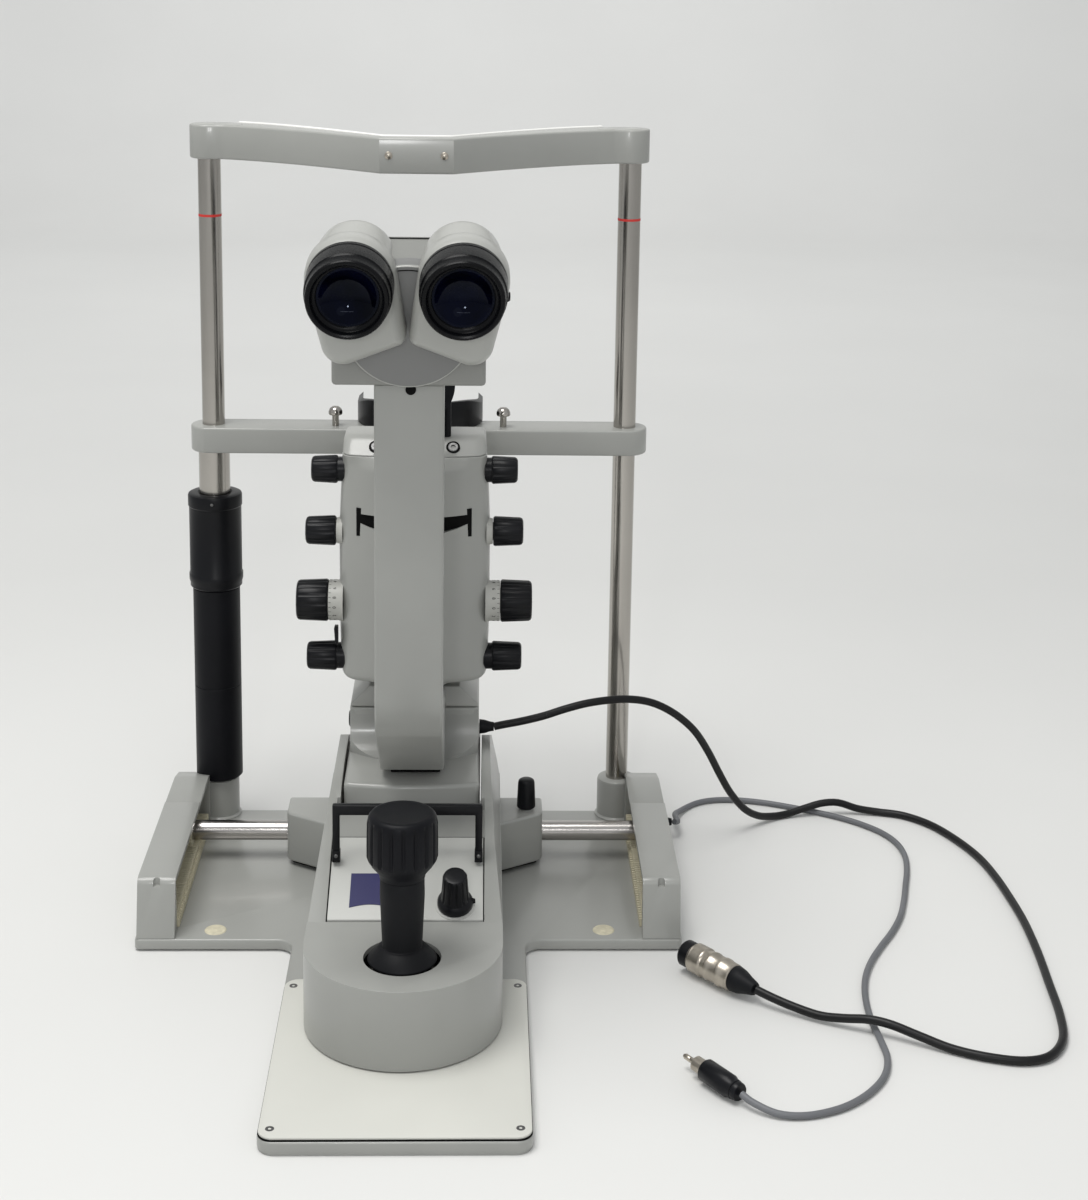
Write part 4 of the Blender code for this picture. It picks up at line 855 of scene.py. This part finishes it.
def lift():
    body = "lift"
    front = arc((0, LIFT_FRONT + 190), 190, 257.2, 282.8, 32)
    show(bevel(prism("lift_shell", [(-LIFT_HALF, LIFT_BACK), *front, (LIFT_HALF, LIFT_BACK)],
        SLOT_FLOOR + 1.5, LIFT_TOP), 2.6, 4, 25), PAINT, body, "lift_housing")

    half, corner = 41.6, 3
    near, back = SHOULDER_FRONT, SHOULDER_BACK
    plan = [(half, near + corner), (half, back - 8), (half - 8, back), (8 - half, back),
        (-half, back - 8), (-half, near + corner), (corner - half, near), (half - corner, near)]
    show(bevel(prism("shoulder_block", plan, LIFT_TOP + GAP, HEAD_Z1), 1.4, 3), PAINT, body,
        "lift_head")
    angles = [math.radians(82 - 82 * i / 14) for i in range(15)]
    curve = [(near - 20 * (1 - math.sin(a)), LIFT_TOP + 26 * (1 - math.cos(a))) for a in angles]
    rise = [(near + 0.4, 127), *curve, (near + 0.4, LIFT_TOP - 1)]
    slope = prism("shoulder_ramp", rise, -half + 0.6, half - 0.6, "X")
    slope = combine(slope, rod("sweep_limit", (0, AXIS_Y, 90), (0, AXIS_Y, 140), 60.3, 128),
        "INTERSECT")
    show(slope, PAINT, body, smooth=40)
    show(lathe("swivel_pin", [(14.6, 115.3), (14.6, TOWER_Z0 - 5.4)], (0, AXIS_Y, 0)), CHROME, body,
        "swivel_post")
    show(lathe("lamp_cord_boot", [(2.9, 9.6), (3.3, 7), (4.4, 3.5), (4.8, 0)], (41.9, -75, 106),
        (1, 0, 0), 48), RUBBER, body, "lamp_cord_gland")
    show(lathe("side_cap", [(4.4, 1.9), (5.6, 1.2), (5.8, -0.2)], (-41.6, -76, 112), (-1, 0, 0),
        48), PLASTIC, body)


# ---------------------------------------------------------------- microscope

SCOPE = "microscope"


def microscope_arm():
    half = 41
    outline = [(-half, HEAD_Z1 + 0.6), (half, HEAD_Z1 + 0.6), (half, HEAD_Z1 + 2.6), (29, 143.2),
        (-29, 143.2), (-half, HEAD_Z1 + 2.6)]
    show(bevel(prism("shoulder_top", outline, SHOULDER_FRONT, SHOULDER_BACK, "Y"), 1.2, 3), PAINT,
        SCOPE, "arm_carrier")

    f, t = ARM_FRONT, ARM_THICK
    side = [(f, 366), (f, 178), *arc((f + 40, 176), 40, 183, 222, 16), (-150.5, 110.5), (-146, 105),
        (-121.5, 103.6), (-121.5, 130), (-99.8, 130.4), (-99.8, 142.8), (-118, 143.6),
        *arc((f + t + 22, 181), 22, 235, 183, 12), (f + t, 366)]
    show(bevel(prism("arm_casting", side, -ARM_HALF, ARM_HALF, "X"), 1.5, 4, 40), PAINT, SCOPE,
        "microscope_arm")
    # A near-black pad under the arm's foot: painted shadow in the gap above the lift.
    show(bevel(box("arm_foot_shadow", (-13.5, -141, 101.6), (17.5, -123, 104.6)), 0.4, 2), SHADE_AND_BLACK, SCOPE)
    show(lathe("arm_screw", [(2.4, 1.2), (3, 0.6), (3.1, -1)], (1, f, 363), (0, -1, 0), 32), SHADE_AND_BLACK,
        SCOPE)


def tilted(point):
    x, y, z = point
    c, s = math.cos(BINO_TILT), math.sin(BINO_TILT)
    return (x, BINO_Y + y * c - z * s, BINO_Z + y * s + z * c)


def belt(circles, steps):
    """The outline of a belt round circles (x, z, radius), in counter-clockwise order."""
    normals = []
    for (ax, az, ar), (bx, bz, br) in zip(circles, circles[1:] + circles[:1]):
        along = math.degrees(math.atan2(bz - az, bx - ax))
        lean = math.degrees(math.acos((ar - br) / math.hypot(bx - ax, bz - az)))
        normals.append(along - lean)
    outline = []
    for i, (x, z, r) in enumerate(circles):
        start = normals[i - 1]
        outline += arc((x, z), r, start, start + (normals[i] - start) % 360, steps)
    return outline


def pear(side, depth, inset):
    """One section of an eye tube: eyepiece circle, inner corner and pivot lobe."""
    circles = [(EYE_X, EYE_UP, 25.4 - inset), (6.8, -7, 6 - inset), (35.5, -11.5, 12.5 - inset)]
    return [tilted((side * x, depth, z)) for x, z in belt(circles, 32)][::side]


def slab(name, depths, low, high):
    """A box square to the binocular's tilt."""
    return loft(name, [[tilted((x, depth, z)) for x, z in rectangle(low, high)]
        for depth in depths])


def eye_tubes():
    stations = ((-7.4, 1.2), (-8, 0.3), (-8.8, 0), (-17.5, 0), (-20, 0.3), (-22.2, 1), (-24, 2),
        (-25.4, 3.2), (-26.4, 4.4), (-27, 5.6))
    for side in (-1, 1):
        body = side_name(side, "eye_tube")
        shell = loft(side_name(side, "tube_casting"),
            [pear(side, depth, inset) for depth, inset in stations])
        start = Vector(tilted((side * EYE_X, -9, EYE_UP)))
        along = Vector(tilted((side * 29.6, 24, EYE_UP))) - start
        rear = lathe("rear_cone", [(23.8, 0), (23.6, 6), (23, 17), (22.5, 25), (22, 29), (20.9, 32),
            (18.6, 34.4), (14.6, 36.2), (9, 37.2), (0, 37.6)], start, along, 112)
        rear = cut(rear, slab("under", (-7.6, 60), (-80, -60), (80, 33.6)))
        rear = cut(rear, prism("clearance", [(-220.6, 340), (-220.6, 430.2), (-181, 449),
            (-120, 449), (-120, 340)], -80, 80, "X"))
        rear.name = side_name(side, "tube_rear")
        # The tubes are in the lighter, lit copy of the paint: painted highlight on their tops.
        show(shell, PAINT_LIT, body, body)
        show(rear, PAINT_LIT, body, smooth=45)
        centre = tilted((side * EYE_X, -27, EYE_UP))
        show(lathe(side_name(side, "eyecup"), [(16.8, 14), (16.9, 16.8), (17.5, 17.6), (18.4, 18),
            (19.2, 19), (19.5, 20.6), (20.1, 21.6), (21, 22), (22.1, 21.8), (22.7, 21),
            (22.9, 19.6), (23, 14.6), (23.4, 13.8), (23.9, 13.2), (24.2, 9), (24.3, 0.4),
            (23.8, -0.3), (23.8, -1), (24.3, -1.5), (24.3, -6.5), (0, -6.5), (0, 8), (16.8, 8),
            (16.8, 14)], centre, BINO_VIEW, 128), EYECUP, side_name(side, "eyepiece"),
            side_name(side, "eyepiece"), smooth=28)
        show(lathe(side_name(side, "eye_lens"), [(0, 9.4), (4, 9.8), (6, 10.3), (8, 11.1),
            (10, 12.1), (12, 13.4), (14, 15.1), (15.6, 16.6), (16.9, 16.7), (16.9, 8.4)], centre,
            BINO_VIEW, 96), LENS, side_name(side, "eyepiece"))
    show(lathe("side_button", [(0, 2.8), (2.2, 2.6), (3, 1.6), (3, 0)], (54, -236, 421.5),
        (1, 0, 0), 32), PLASTIC, "right_eye_tube")


def microscope_head():
    front, back = -219, -150
    profile = [(front, 366.6), (front, 428.6), (-181, 445.2), (back, 439.6), (back, 366.6)]
    # The head casting is in the darker, shaded copy of the paint: painted shade.
    show(bevel(prism("head_casting", profile, -43.6, 43.6, "X"), 2.4, 4), PAINT_SHADED, SCOPE,
        "microscope_head")
    # A near-black strip in the seam under the lid is painted shade; the lid keeps the shaded copy
    # of the paint.
    fall = [(-180.6, 445), (-151, 439.5)]
    for name, low, high, inset, material in (("head_seam_shade", -0.4, 0.4, 0.6, SHADE_AND_BLACK),
            ("head_lid", 0.4, 1.1, 0, PAINT_SHADED)):
        sheet = [(y, z + low) for y, z in fall] + [(y, z + high) for y, z in fall[::-1]]
        show(bevel(prism(name, sheet, inset - 43, 43 - inset, "X"), 0.3, 2), material, SCOPE,
            slot="grey_paint")
    disc = lathe("binocular_disc", [(35.6, 7), (36.3, 6.7), (36.6, 6), (36.6, -6)],
        tilted((0, 0, -6.8)), BINO_VIEW, 128)
    disc = cut(disc, box("back", (-60, front - GAP, 300), (60, 0, 520)))
    # The disc is in the darkest copy of the paint: painted shade under the eye tubes.
    show(disc, PAINT_DEEP_SHADE, SCOPE, "binocular_plate")
    # A thin rim in the lighter, lit copy of the paint: painted highlight along the disc's edge.
    show(lathe("disc_rim", [(35.7, 7.05), (36.2, 6.95), (36.55, 6.5), (36.62, 5.2), (35.7, 5.2),
        (35.7, 7.05)], tilted((0, 0, -6.8)), BINO_VIEW, 128), PAINT_LIT, SCOPE)
    window = lathe("scale_line", [(33.6, 7.25), (34.2, 7.25), (34.2, 6.5), (33.6, 6.5),
        (33.6, 7.25)], tilted((0, 0, -6.8)), BINO_VIEW, 128)
    window = combine(window, box("keep", (-9, -300, 434), (9, -150, 470)), "INTERSECT")
    show(window, SHADE_AND_BLACK, SCOPE)
    show(lathe("objective_mount", [(19, 13), (21, 13), (22.5, 11.5), (22.5, 0), (0, 0), (0, 8),
        (19, 8), (19, 13)], (0, back + GAP, OBJECTIVE_Z), (0, 1, 0), 80), MATT, SCOPE,
        "objective_barrel")
    show(lathe("objective_lens", [(0, 11.4), (8, 10.8), (14, 9.8), (18.8, 8.4), (18.8, 8)],
        (0, back + GAP, OBJECTIVE_Z), (0, 1, 0), 80), LENS, SCOPE)


# ---------------------------------------------------------------- illumination tower

def tower_section(z, narrow, back):
    """The tower's outline at a height: bowed front, rounded corners, straight sides."""
    half, front = TOWER_HALF - narrow, TOWER_FRONT + back
    bulge = 18 - 13.5 * min(1, back / 8.4)
    edge = half - 6.5
    bow_y = [(x, front + bulge * (x / half) ** 2) for x in (edge * i / 20 for i in range(-20, 21))]
    turn = []
    for t in (i / 9 for i in range(1, 10)):
        start, corner, end = (edge, bow_y[-1][1]), (half, front + bulge), (half, front + bulge + 9)
        turn.append(tuple((1 - t) ** 2 * a + 2 * t * (1 - t) * b + t * t * c
            for a, b, c in zip(start, corner, end)))
    outline = [(-x, y) for x, y in turn[::-1]] + bow_y + turn
    return [(x, y, z) for x, y in outline + [(half, TOWER_REAR), (-half, TOWER_REAR)]]


def tower():
    body = loft("tower_shell", [tower_section(*station) for station in ((152, 5, 5),
        (152.4, 3.4, 3.4), (153.5, 2.2, 2.2), (155.2, 1.5, 1.5), (158, 1.1, 1), (165, 0.8, 0.6),
        (180, 0.3, 0.2), (200, 0, 0), (250, 0, 0), (270, 0.8, 0), (284, 1.6, 0), (288.5, 1.9, 0.1),
        (290.6, 2, 0.5), (292.2, 2.1, 1.4), (293.6, 2.2, 2.8), (296, 2.3, 5.6), (298.2, 2.4, 8),
        (298.6, 2.9, 8.6))])
    for side in (-1, 1):
        slot = [(side * 33.6, 262.2), (side * 33.6, 256.4), (side * 27, 254), (side * 18, 252),
            (side * 18, 262.2)]
        body = cut(body, prism("slot", slot, -130, -110, "Y"))
    show(body, PAINT, "tower", "tower_housing", smooth=30)
    # A near-black backing behind the slots: painted shade inside them.
    bow_y = [(x, TOWER_FRONT + 5 + 8 * (x / TOWER_HALF) ** 2) for x in range(-36, 37, 4)]
    show(prism("lever_slot_shade_backing", bow_y + [(36, -100), (-36, -100)], 248, 266), SHADE_AND_BLACK, "tower")
    show(prism("tower_foot", rounded((-24, -116), (24, AXIS_Y + 24), 22), 147.2, TOWER_Z0), PAINT,
        "tower")

    show(loft("tower_lid", [tower_section(*station) for station in ((TOWER_SEAM + GAP, 3, 9.2),
        (TOWER_SEAM + 0.8, 2.6, 9.4), (302.5, 2.7, 13), (305.5, 2.9, 16), (307.2, 3.3, 18),
        (308.3, 4, 19.8), (309.1, 5.1, 21.8), (309.5, 7.2, 24.4))]), PAINT, "tower", "tower_cap",
        smooth=30)
    across = Vector((0, -14.5, 15)).normalized()
    for x in mirrored(24):
        # A near-black ring round each lid screw: painted shade in its recess.
        show(lathe(side_name(x, "screw_well_shade"), [(3.3, -0.4), (3.3, 0.35), (4.3, 0.3), (4.4, -0.8)],
            (x, LID_SCREW_Y, LID_SCREW_Z), across, 40), SHADE_AND_BLACK, "tower")
        show(lathe(side_name(x, "lid_screw"), [(1.4, -0.4), (1.5, 0.7), (2.9, 0.7), (3.3, 0.2),
            (3.3, -1)], (x, LID_SCREW_Y, LID_SCREW_Z), across, 40), SCREW, "tower")

    for name, z, radius, inner, outer, flutes in KNOBS:
        pieces = []
        for side in (-1, 1):
            length = outer - inner
            grip = lathe(side_name(side, name), [(radius - 2.6, length),
                (radius - 1.3, length - 0.7), (radius - 0.7, length - 2), (radius, 1.2),
                (radius - 0.5, 0.3), (radius - 1.2, 0)], (side * inner, KNOB_Y, z), (side, 0, 0),
                flutes=flutes, groove=0.55, span=(1, length - 1.9))
            pieces.append(bevel(grip, 0.2, 2, 40))
            neck_r = radius * (0.6 if name in ("aperture_knobs", "slit_width_knobs") else 0.88)
            neck = lathe("neck", [(neck_r, 0), (neck_r, inner - KNOB_NECK_X)],
                (side * KNOB_NECK_X, KNOB_Y, z), (side, 0, 0), 40)
            pieces.append(neck)
        made = joined([baked(p) for p in pieces], name + "_grips")
        show(made, PLASTIC, name, name)

    for side in (-1, 1):
        for z, radius, x0, x1, tag in ((APERTURE_Z, 8.2, 47.3, 49.3, "aperture"),
                (DIAL_Z, DIAL_R, 47, 54.3, "width")):
            show(lathe(side_name(side, f"{tag}_ring"), [(radius + 1, -2), (radius, 1.2),
                (radius, x1 - x0 - 0.3), (radius - 0.3, x1 - x0)], (side * x0, KNOB_Y, z),
                (side, 0, 0), 72), SCALE, "tower")
        digits(side)
    show(bevel(prism("tower_lever", [(-50.6, 186), (-48.2, 186), (-48.2, 174), (-50, 177)], -112,
        -104, "Y"), 0.4, 2), PLASTIC, "tower")


def digits(side):
    """Tick marks and plain numbers round a scale ring."""
    pieces = []
    for k in range(-3, 12):
        a = math.radians(100 + 14 * k)
        out = Vector((0, math.cos(a), math.sin(a)))
        middle = Vector((side * TICK_X, KNOB_Y, DIAL_Z)) + out * DIAL_R
        along = Vector((0, -out.z, out.y))
        corners = [Vector((dx, 0, 0)) + along * da for dx, da in ((-0.7, -0.12), (0.7, -0.12),
            (0.7, 0.12), (-0.7, 0.12))]
        low = [middle + c - out * 0.1 for c in corners]
        high = [middle + c + out * 0.06 for c in corners]
        pieces.append(loft("tick", [low, high]))
        if k % 2:
            continue
        text = bpy.data.curves.new("digit", "FONT")
        text.body = str((k + 4) % 10)
        text.size = 3 * MM
        text.extrude = 0.05 * MM
        text.align_x, text.align_y = "CENTER", "CENTER"
        made = adopt("digit", text)
        right = Vector((0, along.y, along.z)) * (1 if side > 0 else -1)
        up = out.cross(right)
        where = place(Vector((side * DIGIT_X, KNOB_Y, DIAL_Z)) + out * (DIAL_R + 0.03))
        made.matrix_world = Matrix.Translation(where) @ Matrix(
            (right, up, out)).transposed().to_4x4()
        pieces.append(baked(made))
    show(joined(pieces, side_name(side, "scale_marks")), INK, "tower")


def prism_column():
    y = -98
    drum = rod("mirror_column", (0, y - 9, 343), (0, y + 15, 343), 25, 80)
    stalk = prism("stalk", rounded((-13, y - 9.5), (13, y + 14), 5, 6), 340, 404)
    foot = prism("foot", rounded((-17, y - 10), (17, y + 14.4), 5, 6), TOWER_TOP - 5, 330)
    column = add(add(drum, stalk), foot)
    column = add(column, box("head", (-14, y - 9.2, 400), (14, y + 17, 430.5)))
    show(bevel(cut(column, prism("mouth", [(y + 30, 403), (y - 5, 403), (y + 14, 427),
        (y + 30, 427)], -11.5, 11.5, "X")), 1, 3), MATT, "tower", "prism_column")
    show(bevel(prism("deflecting_prism", [(y + 16, 403.4), (y - 4, 403.4), (y + 13.6, 426),
        (y + 16, 426)], -11, 11, "X"), 0.3, 2), CLEAR, "tower", "illumination_prism")
    for x in mirrored(20):
        show(lathe(side_name(x, "guide_post"), [(2.6, TOWER_TOP - 5), (2.6, 350), (3.4, 351),
            (3.4, 358), (2.2, 359.4)], (x, y - 3, 0), sides=32), MATT, "tower")


# ---------------------------------------------------------------- cords


def laid(route, radius):
    """A cord's points, kept just above the floor."""
    return [Vector((p.x, p.y, max(p.z, DATUM_Z + radius + CORD_LIFT))) for p in smooth_path(route)]


def lamp_cord():
    """The lamp's cord in four pieces: the three that span from one moving body to the next ride on
    none of them, the last lies still.
    """
    path = laid(LAMP_ROUTE, LAMP_CORD_R)
    cuts = [0, *(next(i for i, p in enumerate(path) if p.x >= x) for x in LAMP_CUTS), len(path) - 1]
    bodies = (("lift", IB), (IB, "cross_carriage"), ("cross_carriage", ROOT), (ROOT, None))
    nodes = ("lamp_cord_riser", "lamp_cord_span", "lamp_cord", "lamp_cord")
    for k, ((a, b), node) in enumerate(zip(bodies, nodes)):
        points = path[cuts[k]:cuts[k + 1] + 1]
        piece = show(tube(f"lamp_cable_{k}", points, LAMP_CORD_R), JACKET, None if b else a, node)
        if b:
            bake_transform(piece)
        () if b else connector_pieces(path[-1])


def connector_pieces(end):
    relief = lathe("cable_relief", [(7.6, 17.2), (7.9, 16.4), (7.2, 12), (5.2, 6), (4.2, 2),
        (3.7, 0.9)], end, CONNECTOR_DIR, 48)
    relief = show(relief, RUBBER, ROOT, "strain_relief")
    shell = lathe("round_connector", [(7.6, 17.4), (8.2, 18), (8.4, 23.4), (8.8, 24), (8.9, 26.4),
        (8.4, 27), (8.4, 32.6), (8.8, 33.2), (8.8, 35.2), (8.2, 36), (8.2, 38.8), (9, 39.8),
        (9.1, 41), (8.8, 42.2), (9.1, 43.4), (8.8, 44.6), (9.1, 45.8), (8.8, 47), (9, 48.4),
        (8.4, 49.4), (7.9, 49.8), (7.9, 50)], end, CONNECTOR_DIR, 72)
    shell = show(shell, NICKEL, ROOT, "connector_body")
    ring = lathe("connector_insert", [(7.9, 50.1), (8, 51), (8, 56.2), (7.4, 57), (6.4, 57),
        (6.2, 54.4)], end, CONNECTOR_DIR, 72)
    ring = show(ring, PLASTIC, ROOT)
    return relief, shell, ring


def signal_cord():
    path = laid(SIGNAL_ROUTE, SIGNAL_CORD_R)
    show(lathe("signal_boot", [(2.3, 8.6), (2.9, 6.4), (4.2, 3), (4.4, 0)],
        (COVER_OUT + GAP, -26, 17), (1, 0, 0), 48), RUBBER, ROOT, "signal_cord_gland")
    end = path[-1]
    barrel = lathe("plug_barrel", [(5.9, 29), (6.3, 28.4), (6.3, 9.6), (5.6, 8), (5.4, 5.2),
        (4.8, 4.8), (5.2, 4.4), (5.1, 2.4), (4.6, 1.4)], end, PLUG_DIR, 64)
    barrel = show(barrel, PLASTIC, ROOT, "signal_plug")
    sleeve = lathe("plug_sleeve", [(0, 46.8), (1, 46.6), (1.6, 45.4), (1.6, 41.6), (1.4, 41.3),
        (1.6, 41), (1.6, 37.1), (4, 37), (4.3, 36.6), (4.3, 29)], end, PLUG_DIR, 64)
    sleeve = show(sleeve, NICKEL, ROOT)
    piece = show(tube("signal_cable", path, SIGNAL_CORD_R), GREY_JACKET, ROOT, "signal_cord")


# ---------------------------------------------------------------- camera, light and stage

CAMERA_AT = (39.467, -1365.344, 617.851)
PITCH, YAW, ROLL = 0.2025084, 0.0321246, 0.0150734
SWEEP_Y, SWEEP_R = 3, 1.2


def camera():
    forward = Vector((math.sin(YAW) * math.cos(PITCH), math.cos(YAW) * math.cos(PITCH),
        -math.sin(PITCH)))
    level = Vector((math.cos(YAW), -math.sin(YAW), 0))
    above = level.cross(forward)
    right = level * math.cos(ROLL) + above * math.sin(ROLL)
    up = above * math.cos(ROLL) - level * math.sin(ROLL)
    data = bpy.data.cameras.new("view")
    data.lens, data.sensor_width, data.sensor_fit = 62.217, 36, "AUTO"
    data.shift_y = -0.2
    data.clip_start, data.clip_end = 0.05, 30
    made = adopt("view", data,
        Matrix.Translation(place(CAMERA_AT)) @ Matrix((right, up, -forward)).transposed().to_4x4())
    bpy.context.scene.camera = made


def area(name, where, aim, size, watts, colour=(1, 1, 1), height=None):
    data = bpy.data.lights.new(name, "AREA")
    data.shape, data.size, data.energy, data.color = "DISK", size, watts, colour
    if height:
        data.shape, data.size_y = "RECTANGLE", height
    towards = Vector(aim) - Vector(where)
    lamp = adopt(name, data,
        Matrix.Translation(where) @ towards.to_track_quat("-Z", "Y").to_matrix().to_4x4())
    lamp.visible_camera = False


def lens_spark():
    """A small lamp beside the camera, which each eyepiece mirrors as a round dot."""
    lens = place(tilted((0, -39, EYE_UP)))
    beside = place(CAMERA_AT) + Vector((-0.12, 0, 0.05))
    area("lens_spark", beside, lens, 0.1, 1.7)


def studio():
    """A pale floor that sweeps up far behind the object, and large soft lights."""
    outline = [(-4, 0), (SWEEP_Y, 0)]
    outline += [(SWEEP_Y + SWEEP_R * math.sin(a), SWEEP_R * (1 - math.cos(a)))
        for a in (math.radians(90 * i / 24) for i in range(1, 25))]
    outline.append((SWEEP_Y + SWEEP_R, 6))
    points = [(x, y, z) for x in (-7, 7) for y, z in outline]
    n = len(outline)
    faces = [(i, i + 1, n + i + 1, n + i) for i in range(n - 1)]
    mesh = bpy.data.meshes.new("sweep")
    mesh.from_pydata(points, [], faces)
    floor = adopt("sweep", mesh)
    mesh.shade_smooth()
    mesh.materials.append(surface("pale_floor", None, (0.7, 0.7, 0.685), 0.62, grain=260,
        depth=0.05, shade=0.012, patches=2.5))
    world = bpy.data.worlds.new("soft_room")
    world.use_nodes = True
    sky = world.node_tree.nodes["Background"]
    put(sky, {"Color": (0.97, 0.985, 1, 1), "Strength": 0.58})
    bpy.context.scene.world = world
    area("overhead", (-0.45, -0.25, 2.2), (0, 0, 0.1), 1.3, 34, (1, 0.99, 0.97))
    area("front_fill", (0.9, -2.6, 1.7), (0, -0.1, 0.25), 1.4, 2)
    area("window_strip", (0, -2.4, 1.62), (0, 0, 0.28), 1.9, 2.4, height=0.05)
    area("wall_wash", (0, 1.9, 2.6), (0, 4.4, 1.5), 2.4, 36)
    lens_spark()
    bpy.context.scene.view_settings.view_transform = "Standard"


camera()
studio()
lamp_cord()
signal_cord()
base_plate()
slide_plate()
for hand in (-1, 1):
    rail_cover(hand)
    column_bracket(hand)
    rack(hand)
    carry(side_name(hand, "pinion"), CREAM)
cross_shaft()
columns()
forehead_bar()
forehead_band()
chin_rest()
lift_column()
base_housing()
chassis()
control_panel()
brightness_knob()
bail_handle()
lock_knob()
joystick()
lift()
microscope_arm()
microscope_head()
eye_tubes()
tower()
prism_column()
carry("lamp_bulb", CLEAR)
